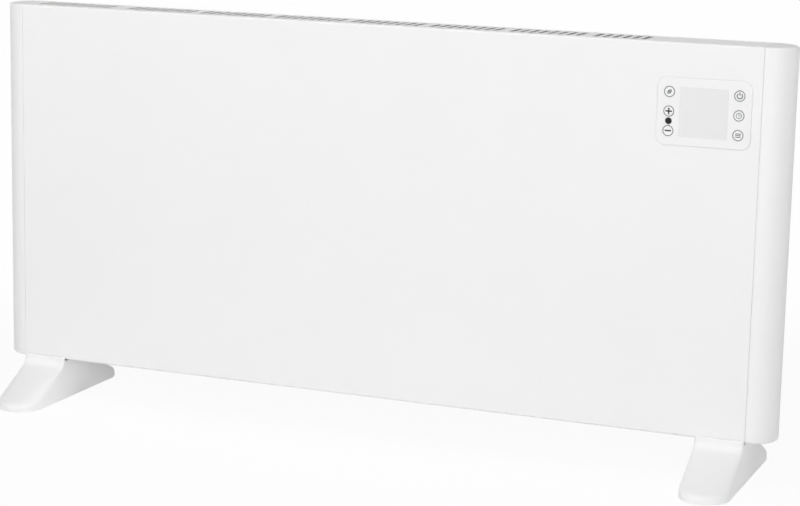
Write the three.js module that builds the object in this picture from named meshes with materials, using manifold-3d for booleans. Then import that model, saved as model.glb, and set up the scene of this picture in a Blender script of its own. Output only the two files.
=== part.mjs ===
import * as THREE from 'three';
import { mergeVertices } from 'three/addons/utils/BufferGeometryUtils.js';
import Module from 'manifold-3d';

const wasm = await Module();
wasm.setup();

// Panel convector heater standing on its two feet.
// Millimetres, +Z up. The front faces -Y and +X is the viewer's right.
// The origin lies on the floor under the middle of the casing.

// Casing of folded steel sheet
const casingHeight = 420;
const casingDepth = 56;
const panelWidth = 878; // seam to seam
const groundClearance = 47.5;
const sheet = 0.8;
const bendRadius = 3;
const returnDepth = 6; // front and rear panels turn in this far at the top and bottom
const seamGap = 0.8;
const fitGap = 0.3;

// Moulded end caps, half an ellipse in plan
const capReach = 28.6;
const capWall = 2.5;
const capOuterRound = 5;
const capRibs = 4;

// Air slots in groups with plain bridges between them
const slotWidth = 5.5;
const slotLength = 38;
const slotPitch = 10.6;
const slotsPerGroup = 8;
const groupPitch = 93.15;
const groupCount = 7;
const firstGroupX = -305.6;
const shortGroupSlots = 6; // last group, beside the control compartment
const leftGroupSlots = 9; // group beside the left end cap
const leftGroupX = -421.8;
const grilleFlange = 8;
const inletWidth = 8; // the hidden inlets are wider and stand at twice the pitch
const inletsPerGroup = 4;
const rearInletLength = 30;
const rearInletZ = 82;

// Keyholes in the rear panel for hanging on two wall screws
const keyholeX = 300;
const keyholeZ = groundClearance + casingHeight - 90;
const keyholeRadius = 5.5;
const keyholeSlotWidth = 5;
const keyholeSlotLength = 17;

// Feet
const footWidth = 53.5;
const footLength = 220;
const footX = 411.6;
const footWall = 3.2;
const toeHeight = 8;
const toeRadius = 7.75;
const toeCornerRadius = 25.5;
const lipOverlap = 3; // the lip stands this far up the panel
const lipThickness = 3.2;
const lipBaseBelowCasing = 7.5;
const lipFillet = 10;
const lipCornerRadius = 3;
const deckGap = 1.8;
const deckThickness = 3;
const footScrewY = 14;
const footScrewRadius = 1.9;
const footScrewHeadRadius = 4;
const footScrewSeatZ = 39; // under the deck, where the head bears
const sheetHoleRadius = 2.6;
const screwHoleRadius = 2.3;

// Control panel, measured from the middle of its fascia
const fasciaX = 377.9;
const fasciaZ = groundClearance + 347.7;
const fasciaWidth = 101;
const fasciaHeight = 71.6;
const fasciaCorner = 10;
const fasciaProud = 0.8;
const fasciaPlate = 3;
const fasciaFlange = 4;
const windowWidth = 51.5;
const windowHeight = 52;
const keyColumn = 37.25;
const keyPitch = 20.5;
const keyHoleRadius = 6;
const keyRadius = 5.7;
const keyTravel = 0.6;
const irRadius = 3.5;
const collarRadius = 6.4;
const stemRadius = 1.7;
const boardThickness = 1.6;
const boardFront = 10.7; // behind the front panel's face
const boardWidth = 98;
const boardHeight = 68;
const domeSwitchReach = 3.6; // each dome switch stands this far off the board
const postRadius = 3;
const housingBack = 20;
const housingWall = 2;

// Heating chamber
const elementY = -3;
const lowerElementZ = groundClearance + 85;
const upperElementZ = groundClearance + 150;
const elementFrom = -380;
const elementTo = 281;
const armY = 18; // reach of the finned arms from the heater rod
const armZ = 24;
const sheathRadius = 4;
const bushRadius = 8;
const leftBracketX = -391.4;
const rightBracketX = 292.4;
const shieldY = 21;
const wallX = 316;
const leadHoleRadius = 9;
const leadHoleZ = upperElementZ + 60;
const cutoutX = 120;
const fuseX = 190;
const guardZ = upperElementZ + 55; // height of the overheat guards

// Mains inlet and switch, on the rear at the control compartment
const switchX = 350;
const switchZ = groundClearance + 45;
const switchPivotY = 26.5;
const rockerRadius = 8.6;
const rockerWidth = 10.4;
const rockerTilt = THREE.MathUtils.degToRad(11);
const switchWidth = 14;
const switchHeight = 19.6;
const pivotPinRadius = 1.25;
const glandX = 405;
const glandZ = switchZ;
const glandHoleRadius = 7;
const glandNeckRadius = 6.6;
const glandBoreRadius = 3.6;
const glandProud = 2.4;

// Control compartment
const powerBoardX = wallX + 53;
const powerBoardY = 7;
const powerBoardZ = groundClearance + 200;
const terminalZ = groundClearance + 88;

const frontY = -casingDepth / 2;
const rearY = casingDepth / 2;
const bottomZ = groundClearance;
const topZ = groundClearance + casingHeight;
const middleZ = groundClearance + casingHeight / 2;
const seamX = panelWidth / 2;
const plateX = seamX - 3.6; // inner face of the end plates

const finishes = {
  enamel: { color: 0xf2f2f0, roughness: 0.38, metalness: 0 },
  moulding: { color: 0xf0f0ee, roughness: 0.45, metalness: 0 },
  fascia: { color: 0xf4f4f3, roughness: 0.35, metalness: 0 },
  display: { color: 0xdfe1e0, roughness: 0.15, metalness: 0 },
  black: { color: 0x141414, roughness: 0.3, metalness: 0 },
  zinc: { color: 0xb9bcbe, roughness: 0.4, metalness: 0.9 },
  aluminium: { color: 0xc6c8ca, roughness: 0.45, metalness: 0.9 },
  ceramic: { color: 0xe6e0d2, roughness: 0.6, metalness: 0 },
  board: { color: 0x2f6b46, roughness: 0.5, metalness: 0 },
  rubber: { color: 0x2a2a2a, roughness: 0.8, metalness: 0 },
};

// Turns a closed geometry into a solid with its faces pointing out.
function solidOf(geometry) {
  const bare = geometry.clone();
  bare.deleteAttribute('normal');
  bare.deleteAttribute('uv');
  const merged = mergeVertices(bare, 1e-4);
  const triVerts = new Uint32Array(merged.index.array);
  const vertProperties = new Float32Array(merged.attributes.position.array);
  if (signedVolume(vertProperties, triVerts) < 0) {
    for (let i = 0; i < triVerts.length; i += 3) {
      const first = triVerts[i];
      triVerts[i] = triVerts[i + 1];
      triVerts[i + 1] = first;
    }
  }
  return new wasm.Manifold(new wasm.Mesh({ numProp: 3, vertProperties, triVerts }));
}

function signedVolume(points, triangles) {
  let volume = 0;
  const a = new THREE.Vector3();
  const b = new THREE.Vector3();
  const c = new THREE.Vector3();
  for (let i = 0; i < triangles.length; i += 3) {
    a.fromArray(points, triangles[i] * 3);
    b.fromArray(points, triangles[i + 1] * 3);
    c.fromArray(points, triangles[i + 2] * 3);
    volume += a.dot(b.cross(c)) / 6;
  }
  return volume;
}

function geometryOf(solid) {
  const mesh = solid.getMesh();
  const geometry = new THREE.BufferGeometry();
  geometry.setAttribute('position', new THREE.BufferAttribute(mesh.vertProperties, 3));
  geometry.setIndex(new THREE.BufferAttribute(mesh.triVerts, 1));
  geometry.computeVertexNormals();
  return geometry;
}

function join(first, ...others) {
  return others.reduce((whole, piece) => whole.add(piece), first);
}

function cut(first, ...others) {
  return others.reduce((whole, piece) => whole.subtract(piece), first);
}

function block(x, y, z) {
  const geometry = new THREE.BoxGeometry(x[1] - x[0], y[1] - y[0], z[1] - z[0]);
  geometry.translate((x[0] + x[1]) / 2, (y[0] + y[1]) / 2, (z[0] + z[1]) / 2);
  return solidOf(geometry);
}

// A round bar along one axis; centre holds its other two coordinates in X, Y, Z order.
function rod(axis, radius, span, centre, sides = 16, endRadius = radius) {
  const geometry = new THREE.CylinderGeometry(endRadius, radius, span[1] - span[0], sides);
  const middle = (span[0] + span[1]) / 2;
  if (axis === 'x') {
    geometry.rotateZ(-Math.PI / 2);
    geometry.translate(middle, centre[0], centre[1]);
  } else if (axis === 'y') {
    geometry.translate(centre[0], middle, centre[1]);
  } else {
    geometry.rotateX(Math.PI / 2);
    geometry.translate(centre[0], centre[1], middle);
  }
  return solidOf(geometry);
}

// A flat outline drawn along one axis; the outline is in the other two, in X, Y, Z order.
function prism(axis, shapes, span) {
  const geometry = new THREE.ExtrudeGeometry(shapes, { depth: span[1] - span[0], bevelEnabled: false });
  const x = new THREE.Vector3(1, 0, 0);
  const y = new THREE.Vector3(0, 1, 0);
  const z = new THREE.Vector3(0, 0, 1);
  if (axis === 'x') {
    geometry.applyMatrix4(new THREE.Matrix4().makeBasis(y, z, x));
    geometry.translate(span[0], 0, 0);
  } else if (axis === 'y') {
    geometry.applyMatrix4(new THREE.Matrix4().makeBasis(x, z, y.negate()));
    geometry.translate(0, span[1], 0);
  } else {
    geometry.translate(0, 0, span[0]);
  }
  return solidOf(geometry);
}

// A turned piece about one axis; the profile holds radius and distance along the axis.
function turned(axis, profile, sides = 16) {
  const points = profile.map(([radius, along]) => new THREE.Vector2(radius, along));
  const geometry = new THREE.LatheGeometry(points, sides);
  if (axis === 'x') {
    geometry.rotateZ(-Math.PI / 2);
  } else if (axis === 'z') {
    geometry.rotateX(Math.PI / 2);
  }
  return solidOf(geometry);
}

// Rectangle with round corners, anticlockwise, with the same number of points at any size.
function roundedOutline(width, height, radius, steps = 4, centre = [0, 0]) {
  const points = [];
  const cornersX = [1, -1, -1, 1];
  const cornersY = [1, 1, -1, -1];
  for (let corner = 0; corner < 4; corner += 1) {
    const middleX = centre[0] + cornersX[corner] * (width / 2 - radius);
    const middleY = centre[1] + cornersY[corner] * (height / 2 - radius);
    for (let step = 0; step <= steps; step += 1) {
      const angle = ((corner + step / steps) * Math.PI) / 2;
      points.push(new THREE.Vector2(
        middleX + radius * Math.cos(angle),
        middleY + radius * Math.sin(angle),
      ));
    }
  }
  return points;
}

function roundedShape(width, height, radius, steps, centre) {
  return new THREE.Shape(roundedOutline(width, height, radius, steps, centre));
}

// Punched slot with round ends, standing along the second axis of its plane.
function slotShape(x, y, width, length, steps = 3) {
  const points = [];
  for (const end of [1, -1]) {
    for (let step = 0; step <= steps; step += 1) {
      const angle = (step / steps) * Math.PI + (end > 0 ? 0 : Math.PI);
      const rise = end * (length / 2 - width / 2);
      points.push(new THREE.Vector2(
        x + (width / 2) * Math.cos(angle),
        y + rise + (width / 2) * Math.sin(angle),
      ));
    }
  }
  return new THREE.Shape(points);
}

// Plain rectangular slot, as the inlets on the hidden sides have.
function squareSlot(x, y, width, length) {
  return new THREE.Shape([
    new THREE.Vector2(x - width / 2, y - length / 2),
    new THREE.Vector2(x + width / 2, y - length / 2),
    new THREE.Vector2(x + width / 2, y + length / 2),
    new THREE.Vector2(x - width / 2, y + length / 2),
  ]);
}

// Skin through rings of equally many points, closed by flat ends.
function loft(rings) {
  const count = rings[0].length;
  const positions = rings.flat().flatMap((point) => [point.x, point.y, point.z]);
  const index = [];
  for (let ring = 0; ring < rings.length - 1; ring += 1) {
    for (let i = 0; i < count; i += 1) {
      const low = ring * count + i;
      const lowNext = ring * count + ((i + 1) % count);
      index.push(low, lowNext, lowNext + count, low, lowNext + count, low + count);
    }
  }
  const last = (rings.length - 1) * count;
  for (let i = 1; i < count - 1; i += 1) {
    index.push(0, i + 1, i);
    index.push(last, last + i, last + i + 1);
  }
  const geometry = new THREE.BufferGeometry();
  geometry.setAttribute('position', new THREE.Float32BufferAttribute(positions, 3));
  geometry.setIndex(index);
  return solidOf(geometry);
}

function ringAt(outline, z) {
  return outline.map((point) => new THREE.Vector3(point.x, point.y, z));
}

// ---- casing ----

// The four casing sheets are slices of one folded tube, so their bends line up.
function casingTube() {
  const centre = [0, middleZ];
  const outer = roundedShape(casingDepth, casingHeight, bendRadius, 4, centre);
  const innerDepth = casingDepth - 2 * sheet;
  const innerHeight = casingHeight - 2 * sheet;
  const bore = roundedOutline(innerDepth, innerHeight, bendRadius - sheet, 4, centre);
  outer.holes.push(new THREE.Path(bore));
  const end = seamX - seamGap / 2;
  return prism('x', outer, [-end, end]);
}

function frontPanel() {
  const front = block([-seamX, seamX], [frontY - 1, frontY + returnDepth], [bottomZ - 1, topZ + 1]);
  const opening = roundedShape(
    fasciaWidth + 2 * fitGap,
    fasciaHeight + 2 * fitGap,
    fasciaCorner + fitGap,
    4,
    [fasciaX, fasciaZ],
  );
  return cut(casingTube().intersect(front), prism('y', opening, [frontY - 1, frontY + 2 * sheet]));
}

function rearPanel() {
  const rear = block([-seamX, seamX], [rearY - returnDepth, rearY + 1], [bottomZ - 1, topZ + 1]);
  const through = [rearY - 2 * sheet, rearY + 1];
  const inlets = inletPlaces().map((x) => squareSlot(x, rearInletZ, inletWidth, rearInletLength));
  const switchOpening = squareSlot(switchX, switchZ, switchWidth + 2 * fitGap, switchHeight + 2 * fitGap);
  const glandOpening = rod('y', glandHoleRadius, through, [glandX, glandZ]);
  const keyholes = [-keyholeX, keyholeX].map((x) => keyholeCutter(x, through));
  return cut(
    casingTube().intersect(rear),
    prism('y', inlets, through),
    prism('y', switchOpening, through),
    glandOpening,
    ...keyholes,
  );
}

// Hanging keyhole: a screw head enters the round hole and the shank slides up the slot.
function keyholeCutter(x, span) {
  const slotZ = keyholeZ + (keyholeSlotLength - keyholeSlotWidth / 2) / 2;
  return join(
    rod('y', keyholeRadius, span, [x, keyholeZ]),
    prism('y', slotShape(x, slotZ, keyholeSlotWidth, keyholeSlotLength), span),
  );
}

function slotPlaces() {
  const places = [];
  for (let slot = 0; slot < leftGroupSlots; slot += 1) {
    places.push(leftGroupX + slot * slotPitch);
  }
  for (let group = 0; group < groupCount; group += 1) {
    const slots = group === groupCount - 1 ? shortGroupSlots : slotsPerGroup;
    for (let slot = 0; slot < slots; slot += 1) {
      places.push(firstGroupX + group * groupPitch + slot * slotPitch);
    }
  }
  return places;
}

// Inlets on the underside and the rear, below the heating elements.
function inletPlaces() {
  const places = [];
  for (let group = 0; group < groupCount; group += 1) {
    for (let inlet = 0; inlet < inletsPerGroup; inlet += 1) {
      places.push(firstGroupX + group * groupPitch + (2 * inlet + 0.5) * slotPitch);
    }
  }
  return places.filter((x) => x < wallX - inletWidth);
}

// Grille sheet: a flat strip with both long edges turned into the casing.
// The face of the strip is at faceZ and the edges run inward, towards the casing's middle.
function grilleSheet(faceZ, inward) {
  const half = casingDepth / 2 - returnDepth - fitGap;
  const back = faceZ + inward * sheet;
  const edge = back + inward * grilleFlange;
  const profile = new THREE.Shape([
    new THREE.Vector2(-half, faceZ),
    new THREE.Vector2(half, faceZ),
    new THREE.Vector2(half, edge),
    new THREE.Vector2(half - sheet, edge),
    new THREE.Vector2(half - sheet, back),
    new THREE.Vector2(sheet - half, back),
    new THREE.Vector2(sheet - half, edge),
    new THREE.Vector2(-half, edge),
  ]);
  const end = seamX - seamGap / 2;
  return prism('x', profile, [-end, end]);
}

function topGrille() {
  const slots = slotPlaces().map((x) => slotShape(x, 0, slotWidth, slotLength));
  return cut(grilleSheet(topZ, -1), prism('z', slots, [topZ - 2 * sheet, topZ + 1]));
}

function bottomGrille() {
  const inlets = inletPlaces().map((x) => squareSlot(x, 0, inletWidth, slotLength));
  const cutters = [prism('z', inlets, [bottomZ - 1, bottomZ + 2 * sheet])];
  for (const [x, y] of footScrewPlaces()) {
    cutters.push(rod('z', sheetHoleRadius, [bottomZ - 1, bottomZ + 2 * sheet], [x, y], 12));
  }
  return cut(grilleSheet(bottomZ, 1), ...cutters);
}

function footScrewPlaces() {
  const places = [];
  for (const side of [-1, 1]) {
    for (const y of [-footScrewY, footScrewY]) {
      places.push([side * footX, y]);
    }
  }
  return places;
}

// End plate: closes the folded casing and carries the foot screws and the end cap.
// Built for the right end, with its own origin at the casing's middle on the floor.
function endPlate(besideFascia) {
  const inside = casingDepth / 2 - sheet - 0.4;
  const grilleInside = casingDepth / 2 - returnDepth - fitGap - sheet - fitGap;
  const lowEdge = bottomZ + sheet + grilleFlange + fitGap;
  const highEdge = topZ - sheet - grilleFlange - fitGap;
  const flangeReach = 13;
  const spanZ = [lowEdge, highEdge];
  const flangeX = [plateX - flangeReach, plateX + sheet];
  const web = block([plateX, plateX + sheet], [-inside, inside], spanZ);
  const frontFlange = block(flangeX, [-inside, sheet - inside], spanZ);
  const rearFlange = block(flangeX, [inside - sheet, inside], spanZ);
  const tongue = block(
    [plateX, plateX + sheet],
    [-grilleInside, grilleInside],
    [bottomZ + 1.5, lowEdge + 1],
  );
  const shelf = block(
    [footX - footWidth / 2, plateX + sheet],
    [-grilleInside, grilleInside],
    [bottomZ + 1.5, bottomZ + 1.5 + sheet],
  );
  const cutters = [-1, 1].map((side) => (
    rod('z', screwHoleRadius, [bottomZ, bottomZ + 6], [footX, side * footScrewY], 12)
  ));
  for (const z of capScrewHeights()) {
    cutters.push(rod('x', 2, [plateX - 1, plateX + 3], [0, z], 12));
  }
  if (besideFascia) {
    const reach = fasciaHeight / 2 + fasciaFlange + 2;
    cutters.push(block([plateX - 20, plateX - 0.1], [-30, -15], [fasciaZ - reach, fasciaZ + reach]));
  }
  return cut(join(web, frontFlange, rearFlange, tongue, shelf), ...cutters);
}

function capScrewHeights() {
  const pitch = casingHeight / (capRibs + 1);
  return [1, capRibs].map((rib) => bottomZ + rib * pitch);
}

// Plan of an end cap: half an ellipse on the seam, with its flat side towards the casing.
function capOutline(reach, halfDepth, flatX, steps = 12) {
  const points = [new THREE.Vector2(flatX, -halfDepth)];
  for (let step = 0; step <= steps; step += 1) {
    const angle = (step / steps - 0.5) * Math.PI;
    points.push(new THREE.Vector2(reach * Math.cos(angle), halfDepth * Math.sin(angle)));
  }
  points.push(new THREE.Vector2(flatX, halfDepth));
  return points;
}

// Moulded end cap, open towards the casing. Its own origin is on the seam at the floor.
function endCap() {
  const halfDepth = casingDepth / 2;
  const flat = seamGap / 2;
  const rings = [];
  const roundSteps = 2;
  for (const end of [-1, 1]) {
    for (let step = 0; step <= roundSteps; step += 1) {
      const turn = (end < 0 ? 1 - step / roundSteps : step / roundSteps) * (Math.PI / 2);
      const easeIn = 1 - Math.cos(turn);
      const rise = casingHeight / 2 - bendRadius + bendRadius * Math.sin(turn);
      const reach = capReach - capOuterRound * easeIn;
      const outline = capOutline(reach, halfDepth - bendRadius * easeIn, 0);
      rings.push(ringAt(outline.slice(1, -1), middleZ + end * rise));
    }
  }
  const shell = loft(rings.map((ring) => ring.map((p) => p.add(new THREE.Vector3(flat, 0, 0)))));
  const hollowOutline = capOutline(capReach - capWall, halfDepth - capWall, -2);
  const hollow = prism('z', new THREE.Shape(hollowOutline), [bottomZ + capWall, topZ - capWall]);
  const filledOutline = capOutline(capReach - 1, halfDepth - 1, -1, 8);
  const filled = prism('z', new THREE.Shape(filledOutline), [bottomZ, topZ]);
  const pitch = casingHeight / (capRibs + 1);
  const extras = [capRegister()];
  for (let rib = 1; rib <= capRibs; rib += 1) {
    const z = bottomZ + rib * pitch;
    extras.push(block([3, capReach], [-halfDepth, halfDepth], [z - 0.8, z + 0.8]).intersect(filled));
  }
  for (const z of capScrewHeights()) {
    const boss = rod('x', 3.5, [plateX + sheet + fitGap - seamX, capReach - 2], [0, z], 12);
    const pilot = rod('x', 1.3, [-10, 8], [0, z], 8);
    extras.push(cut(boss, pilot));
  }
  return join(cut(shell, hollow), ...extras);
}

// Rim that steps inside the folded casing and lines the cap up with it.
function capRegister() {
  const outerDepth = casingDepth - 2 * sheet - 0.8;
  const outerHeight = casingHeight - 2 * (sheet + grilleFlange + fitGap);
  const span = [-1.8, 2];
  const rim = roundedShape(outerDepth, outerHeight, 1.5, 1, [0, middleZ]);
  rim.holes.push(new THREE.Path(roundedOutline(outerDepth - 3, outerHeight - 3, 1, 1, [0, middleZ])));
  return prism('x', rim, span);
}

// ---- feet ----

// Section of the foot, given how far its ends have drawn in from the toe.
function footSection(drawnIn, margin, z, steps = 4) {
  const lipReach = footLength / 2 - casingDepth / 2 - fitGap - lipThickness;
  const share = Math.min(drawnIn / lipReach, 1);
  const corner = THREE.MathUtils.lerp(toeCornerRadius, lipCornerRadius, share);
  const length = footLength - 2 * drawnIn;
  return ringAt(roundedOutline(footWidth - 2 * margin, length, Math.max(corner - margin, 1), steps), z);
}

// Side view of the foot as pairs of draw-in and height: upright toe, long slope, upright lip.
function footProfile() {
  const lipReach = footLength / 2 - casingDepth / 2 - fitGap - lipThickness;
  const lipBase = bottomZ - lipBaseBelowCasing;
  const lipTop = bottomZ + lipOverlap;
  const slope = Math.atan2(lipBase - toeHeight, lipReach);
  const turn = Math.PI / 2 - slope;
  const toeStart = toeHeight - toeRadius * Math.tan(turn / 2);
  const lipStart = lipBase + lipFillet * Math.tan(turn / 2);
  const profile = [[0.8, 0], [0, 1]];
  const steps = 3;
  for (let step = 0; step <= steps; step += 1) {
    const angle = (turn * step) / steps;
    profile.push([toeRadius - toeRadius * Math.cos(angle), toeStart + toeRadius * Math.sin(angle)]);
  }
  for (let step = 0; step <= steps; step += 1) {
    const angle = slope + (turn * step) / steps;
    profile.push([
      lipReach - lipFillet + lipFillet * Math.sin(angle),
      lipStart - lipFillet * Math.cos(angle),
    ]);
  }
  profile.push([lipReach, lipTop - 0.8]);
  profile.push([lipReach + 0.8, lipTop]);
  return profile;
}

// Space inside the foot, a given wall away from its outer faces and open below.
function footHollow(wall, ceilingZ) {
  const lipReach = footLength / 2 - casingDepth / 2 - fitGap - lipThickness;
  const rise = (bottomZ - lipBaseBelowCasing - toeHeight) / lipReach;
  const drop = wall * Math.hypot(1, rise);
  const kneeZ = toeHeight - drop + rise * wall;
  const ceiling = (ceilingZ - toeHeight + drop) / rise;
  return loft([
    footSection(wall, wall, -1, 3),
    footSection(wall, wall, kneeZ - 1.5, 3),
    footSection(wall + 1.5, wall, kneeZ + 1, 3),
    footSection(ceiling, wall, ceilingZ, 3),
  ]);
}

// Hollow moulded foot with a deck under the casing, lips that hold the panels, ribs below.
function foot() {
  const outer = loft(footProfile().map(([drawnIn, z]) => footSection(drawnIn, 0, z)));
  const deckTop = bottomZ - deckGap;
  const deckBottom = deckTop - deckThickness;
  const hollow = footHollow(footWall, deckBottom);
  const seat = block([-footWidth, footWidth], [-rearY - fitGap, rearY + fitGap], [deckTop, bottomZ + 10]);
  const ribSpace = footHollow(footWall - 1, deckBottom + 1);
  const ribs = [
    block([-0.9, 0.9], [-footLength, footLength], [1, deckTop]),
    block([-footWidth, footWidth], [-36.9, -35.1], [1, deckTop]),
    block([-footWidth, footWidth], [35.1, 36.9], [1, deckTop]),
  ].map((rib) => rib.intersect(ribSpace));
  const towerRadius = 6.5;
  const towers = [];
  const holes = [];
  for (const y of [-footScrewY, footScrewY]) {
    towers.push(rod('z', towerRadius, [footScrewSeatZ - 5, deckTop], [0, y], 12));
    towers.push(rod('z', towerRadius + 1.5, [deckTop - 1, bottomZ - fitGap], [0, y], 12));
    holes.push(rod('z', footScrewHeadRadius + 0.6, [0, footScrewSeatZ], [0, y], 12));
    holes.push(rod('z', screwHoleRadius, [30, bottomZ + 5], [0, y], 8));
  }
  return cut(join(cut(outer, hollow, seat), ...ribs, ...towers), ...holes);
}

// Pan-head screw that pulls the foot up to the end plate's shelf.
function footScrew() {
  const bearing = footScrewSeatZ - fitGap;
  const tip = bottomZ + 10.5;
  return turned('z', [
    [0, bearing - 2.3],
    [footScrewHeadRadius - 1, bearing - 2.3],
    [footScrewHeadRadius, bearing - 1.5],
    [footScrewHeadRadius, bearing],
    [footScrewRadius, bearing],
    [footScrewRadius, tip - 1],
    [footScrewRadius - 0.5, tip],
    [0, tip],
  ], 10);
}

// ---- controls, in a frame with its origin at the fascia's middle on the panel's front ----

function keyPlaces() {
  const places = [];
  for (const side of [-1, 1]) {
    for (const row of [1, 0, -1]) {
      places.push([side * keyColumn, row * keyPitch]);
    }
  }
  return places;
}

function controlFascia() {
  const edge = 1.6;
  const front = -fasciaProud;
  const back = front + fasciaPlate;
  const outline = (inset, y) => roundedOutline(
    fasciaWidth - 2 * inset,
    fasciaHeight - 2 * inset,
    fasciaCorner - inset,
    4,
  ).map((p) => new THREE.Vector3(p.x, y, p.y));
  const plate = loft([
    outline(edge, front),
    outline(edge / 3, front + 0.2),
    outline(0, front + 0.6),
    outline(0, back),
  ]);
  const flangeWidth = fasciaWidth + 2 * fasciaFlange;
  const flangeHeight = fasciaHeight + 2 * fasciaFlange;
  const flange = roundedShape(flangeWidth, flangeHeight, fasciaCorner + fasciaFlange, 3);
  const clearOutline = roundedOutline(fasciaWidth - 6, fasciaHeight - 6, fasciaCorner - 3, 3);
  flange.holes.push(new THREE.Path(clearOutline));
  const cutters = [prism('y', roundedShape(windowWidth, windowHeight, 0.8, 1), [front - 1, back + 1])];
  for (const place of keyPlaces()) {
    cutters.push(rod('y', keyHoleRadius, [front - 1, back + 1], place, 14));
  }
  cutters.push(rod('y', irRadius + 0.25, [front - 1, back + 1], [-keyColumn, -keyPitch / 2]));
  const bossSpan = [back - 1, boardFront - fitGap];
  const bosses = boardScrewPlaces().map((place) => rod('y', postRadius, bossSpan, place, 8));
  const flangeSpan = [sheet + fitGap, sheet + fitGap + 2];
  return join(cut(join(plate, prism('y', flange, flangeSpan)), ...cutters), ...bosses);
}

function boardScrewPlaces() {
  const places = [];
  for (const x of [-45, 45]) {
    for (const z of [-31, 31]) {
      places.push([x, z]);
    }
  }
  return places;
}

// Round push key: cap in the fascia's hole, retaining collar and stem to its switch.
function pushKey() {
  const front = -fasciaProud;
  const collar = front + fasciaPlate + 0.4;
  const stemEnd = boardFront - domeSwitchReach - 0.1 - keyTravel;
  return turned('y', [
    [0, front],
    [keyRadius - 0.4, front],
    [keyRadius, front + 0.3],
    [keyRadius, collar],
    [collarRadius, collar],
    [collarRadius, collar + 0.9],
    [stemRadius, collar + 0.9],
    [stemRadius, stemEnd],
    [0, stemEnd],
  ], 14);
}

function irWindow() {
  const front = -fasciaProud;
  const back = 5.6;
  return turned('y', [
    [0, front],
    [irRadius, front],
    [irRadius, front + fasciaPlate],
    [irRadius - 0.8, back],
    [0, back],
  ]);
}

function displayWindow() {
  const front = -fasciaProud + 0.1;
  const back = fasciaPlate - fasciaProud;
  const clear = 0.15;
  const pane = roundedShape(windowWidth - 2 * clear, windowHeight - 2 * clear, 0.8, 1);
  const border = roundedShape(windowWidth + 4, windowHeight + 4, 1.5, 1);
  return join(prism('y', pane, [front, back + 0.8]), prism('y', border, [back + fitGap, back + 1.3]));
}

function lcdModule() {
  const frame = prism('y', roundedShape(50, 50, 1, 1), [4.7, boardFront - fitGap]);
  const ledge = prism('y', roundedShape(46, 42, 0.5, 1), [4.2, 5.2]);
  return join(frame, ledge);
}

function controlBoard() {
  const boardBack = boardFront + boardThickness;
  const board = prism('y', roundedShape(boardWidth, boardHeight, 2, 1), [boardFront, boardBack]);
  const pieces = [];
  for (const [x, z] of keyPlaces()) {
    pieces.push(block([x - 3, x + 3], [boardFront - 2.2, boardFront + 0.2], [z - 3, z + 3]));
    pieces.push(rod('y', stemRadius, [boardFront - domeSwitchReach, boardFront - 2], [x, z], 6));
  }
  const irZ = -keyPitch / 2;
  const irX = -keyColumn;
  pieces.push(block([irX - 2.5, irX + 2.5], [6.2, boardFront + 0.2], [irZ - 2.5, irZ + 2.5]));
  pieces.push(block([-12, 12], [boardBack - 0.2, boardFront + 6], [-30, -24]));
  const through = [boardFront - 1, boardFront + 3];
  const holes = boardScrewPlaces().map((place) => rod('y', 1.6, through, place, 6));
  return cut(join(board, ...pieces), ...holes);
}

// Moulded tray that closes the back of the controls and holds the board on four posts.
function controlHousing() {
  const width = fasciaWidth + 2 * fasciaFlange;
  const height = fasciaHeight + 2 * fasciaFlange;
  const front = sheet + fitGap + 2 + fitGap;
  const back = housingBack;
  const wall = housingWall;
  const corner = fasciaCorner + fasciaFlange;
  const tray = prism('y', roundedShape(width, height, corner, 3), [front, back]);
  const insideShape = roundedShape(width - 2 * wall, height - 2 * wall, corner - wall, 3);
  const inside = prism('y', insideShape, [front - 1, back - wall]);
  const boardBack = boardFront + boardThickness;
  const posts = boardScrewPlaces().map((place) => (
    rod('y', postRadius, [boardBack + fitGap, back - 1], place, 8)
  ));
  const notch = block([-14, 14], [back - 8, back + 1], [-height / 2 - 1, -height / 2 + 6]);
  return cut(join(cut(tray, inside), ...posts), notch);
}

// ---- heating chamber ----

// Cross-section of the extruded element: four finned arms set as an X round the heater rod.
function elementShape() {
  const armLength = Math.hypot(armY, armZ);
  const lean = Math.atan2(armZ, armY);
  const teeth = 2;
  const web = 1.2;
  const toothReach = 4.6;
  const toothWidth = 1.8;
  const firstTooth = 13;
  const toothPitch = (armLength - firstTooth) / teeth;
  const side = [];
  for (let tooth = 0; tooth < teeth; tooth += 1) {
    const along = firstTooth + tooth * toothPitch;
    side.push([along, web]);
    side.push([along, toothReach]);
    side.push([along + toothWidth, toothReach]);
    side.push([along + toothWidth, web]);
  }
  side.push([armLength, web]);
  const outline = [...side.map(([s, n]) => [s, -n]), ...side.slice().reverse()];
  const points = [];
  for (const angle of [lean, Math.PI - lean, Math.PI + lean, 2 * Math.PI - lean]) {
    for (const [s, n] of outline) {
      points.push(new THREE.Vector2(
        s * Math.cos(angle) - n * Math.sin(angle),
        s * Math.sin(angle) + n * Math.cos(angle),
      ));
    }
  }
  return new THREE.Shape(points);
}

function heatingElement() {
  const profile = prism('x', elementShape(), [elementFrom, elementTo]);
  const core = rod('x', 6.5, [elementFrom, elementTo], [0, 0], 12);
  const sheath = rod('x', sheathRadius, [elementFrom - 19, elementTo + 19], [0, 0], 12);
  const pins = rod('x', 1.5, [elementFrom - 28, elementTo + 28], [0, 0], 8);
  return join(profile, core, sheath, pins);
}

// Ceramic bush with a groove that sits in the bracket's plate. Its origin is in that plate.
function elementBush() {
  const bore = sheathRadius + fitGap;
  return turned('x', [
    [bore, -3],
    [bushRadius + 2, -3],
    [bushRadius + 2, -sheet / 2 - fitGap],
    [bushRadius - fitGap, -sheet / 2 - fitGap],
    [bushRadius - fitGap, 6],
    [bore, 6],
    [bore, -3],
  ], 12);
}

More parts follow.
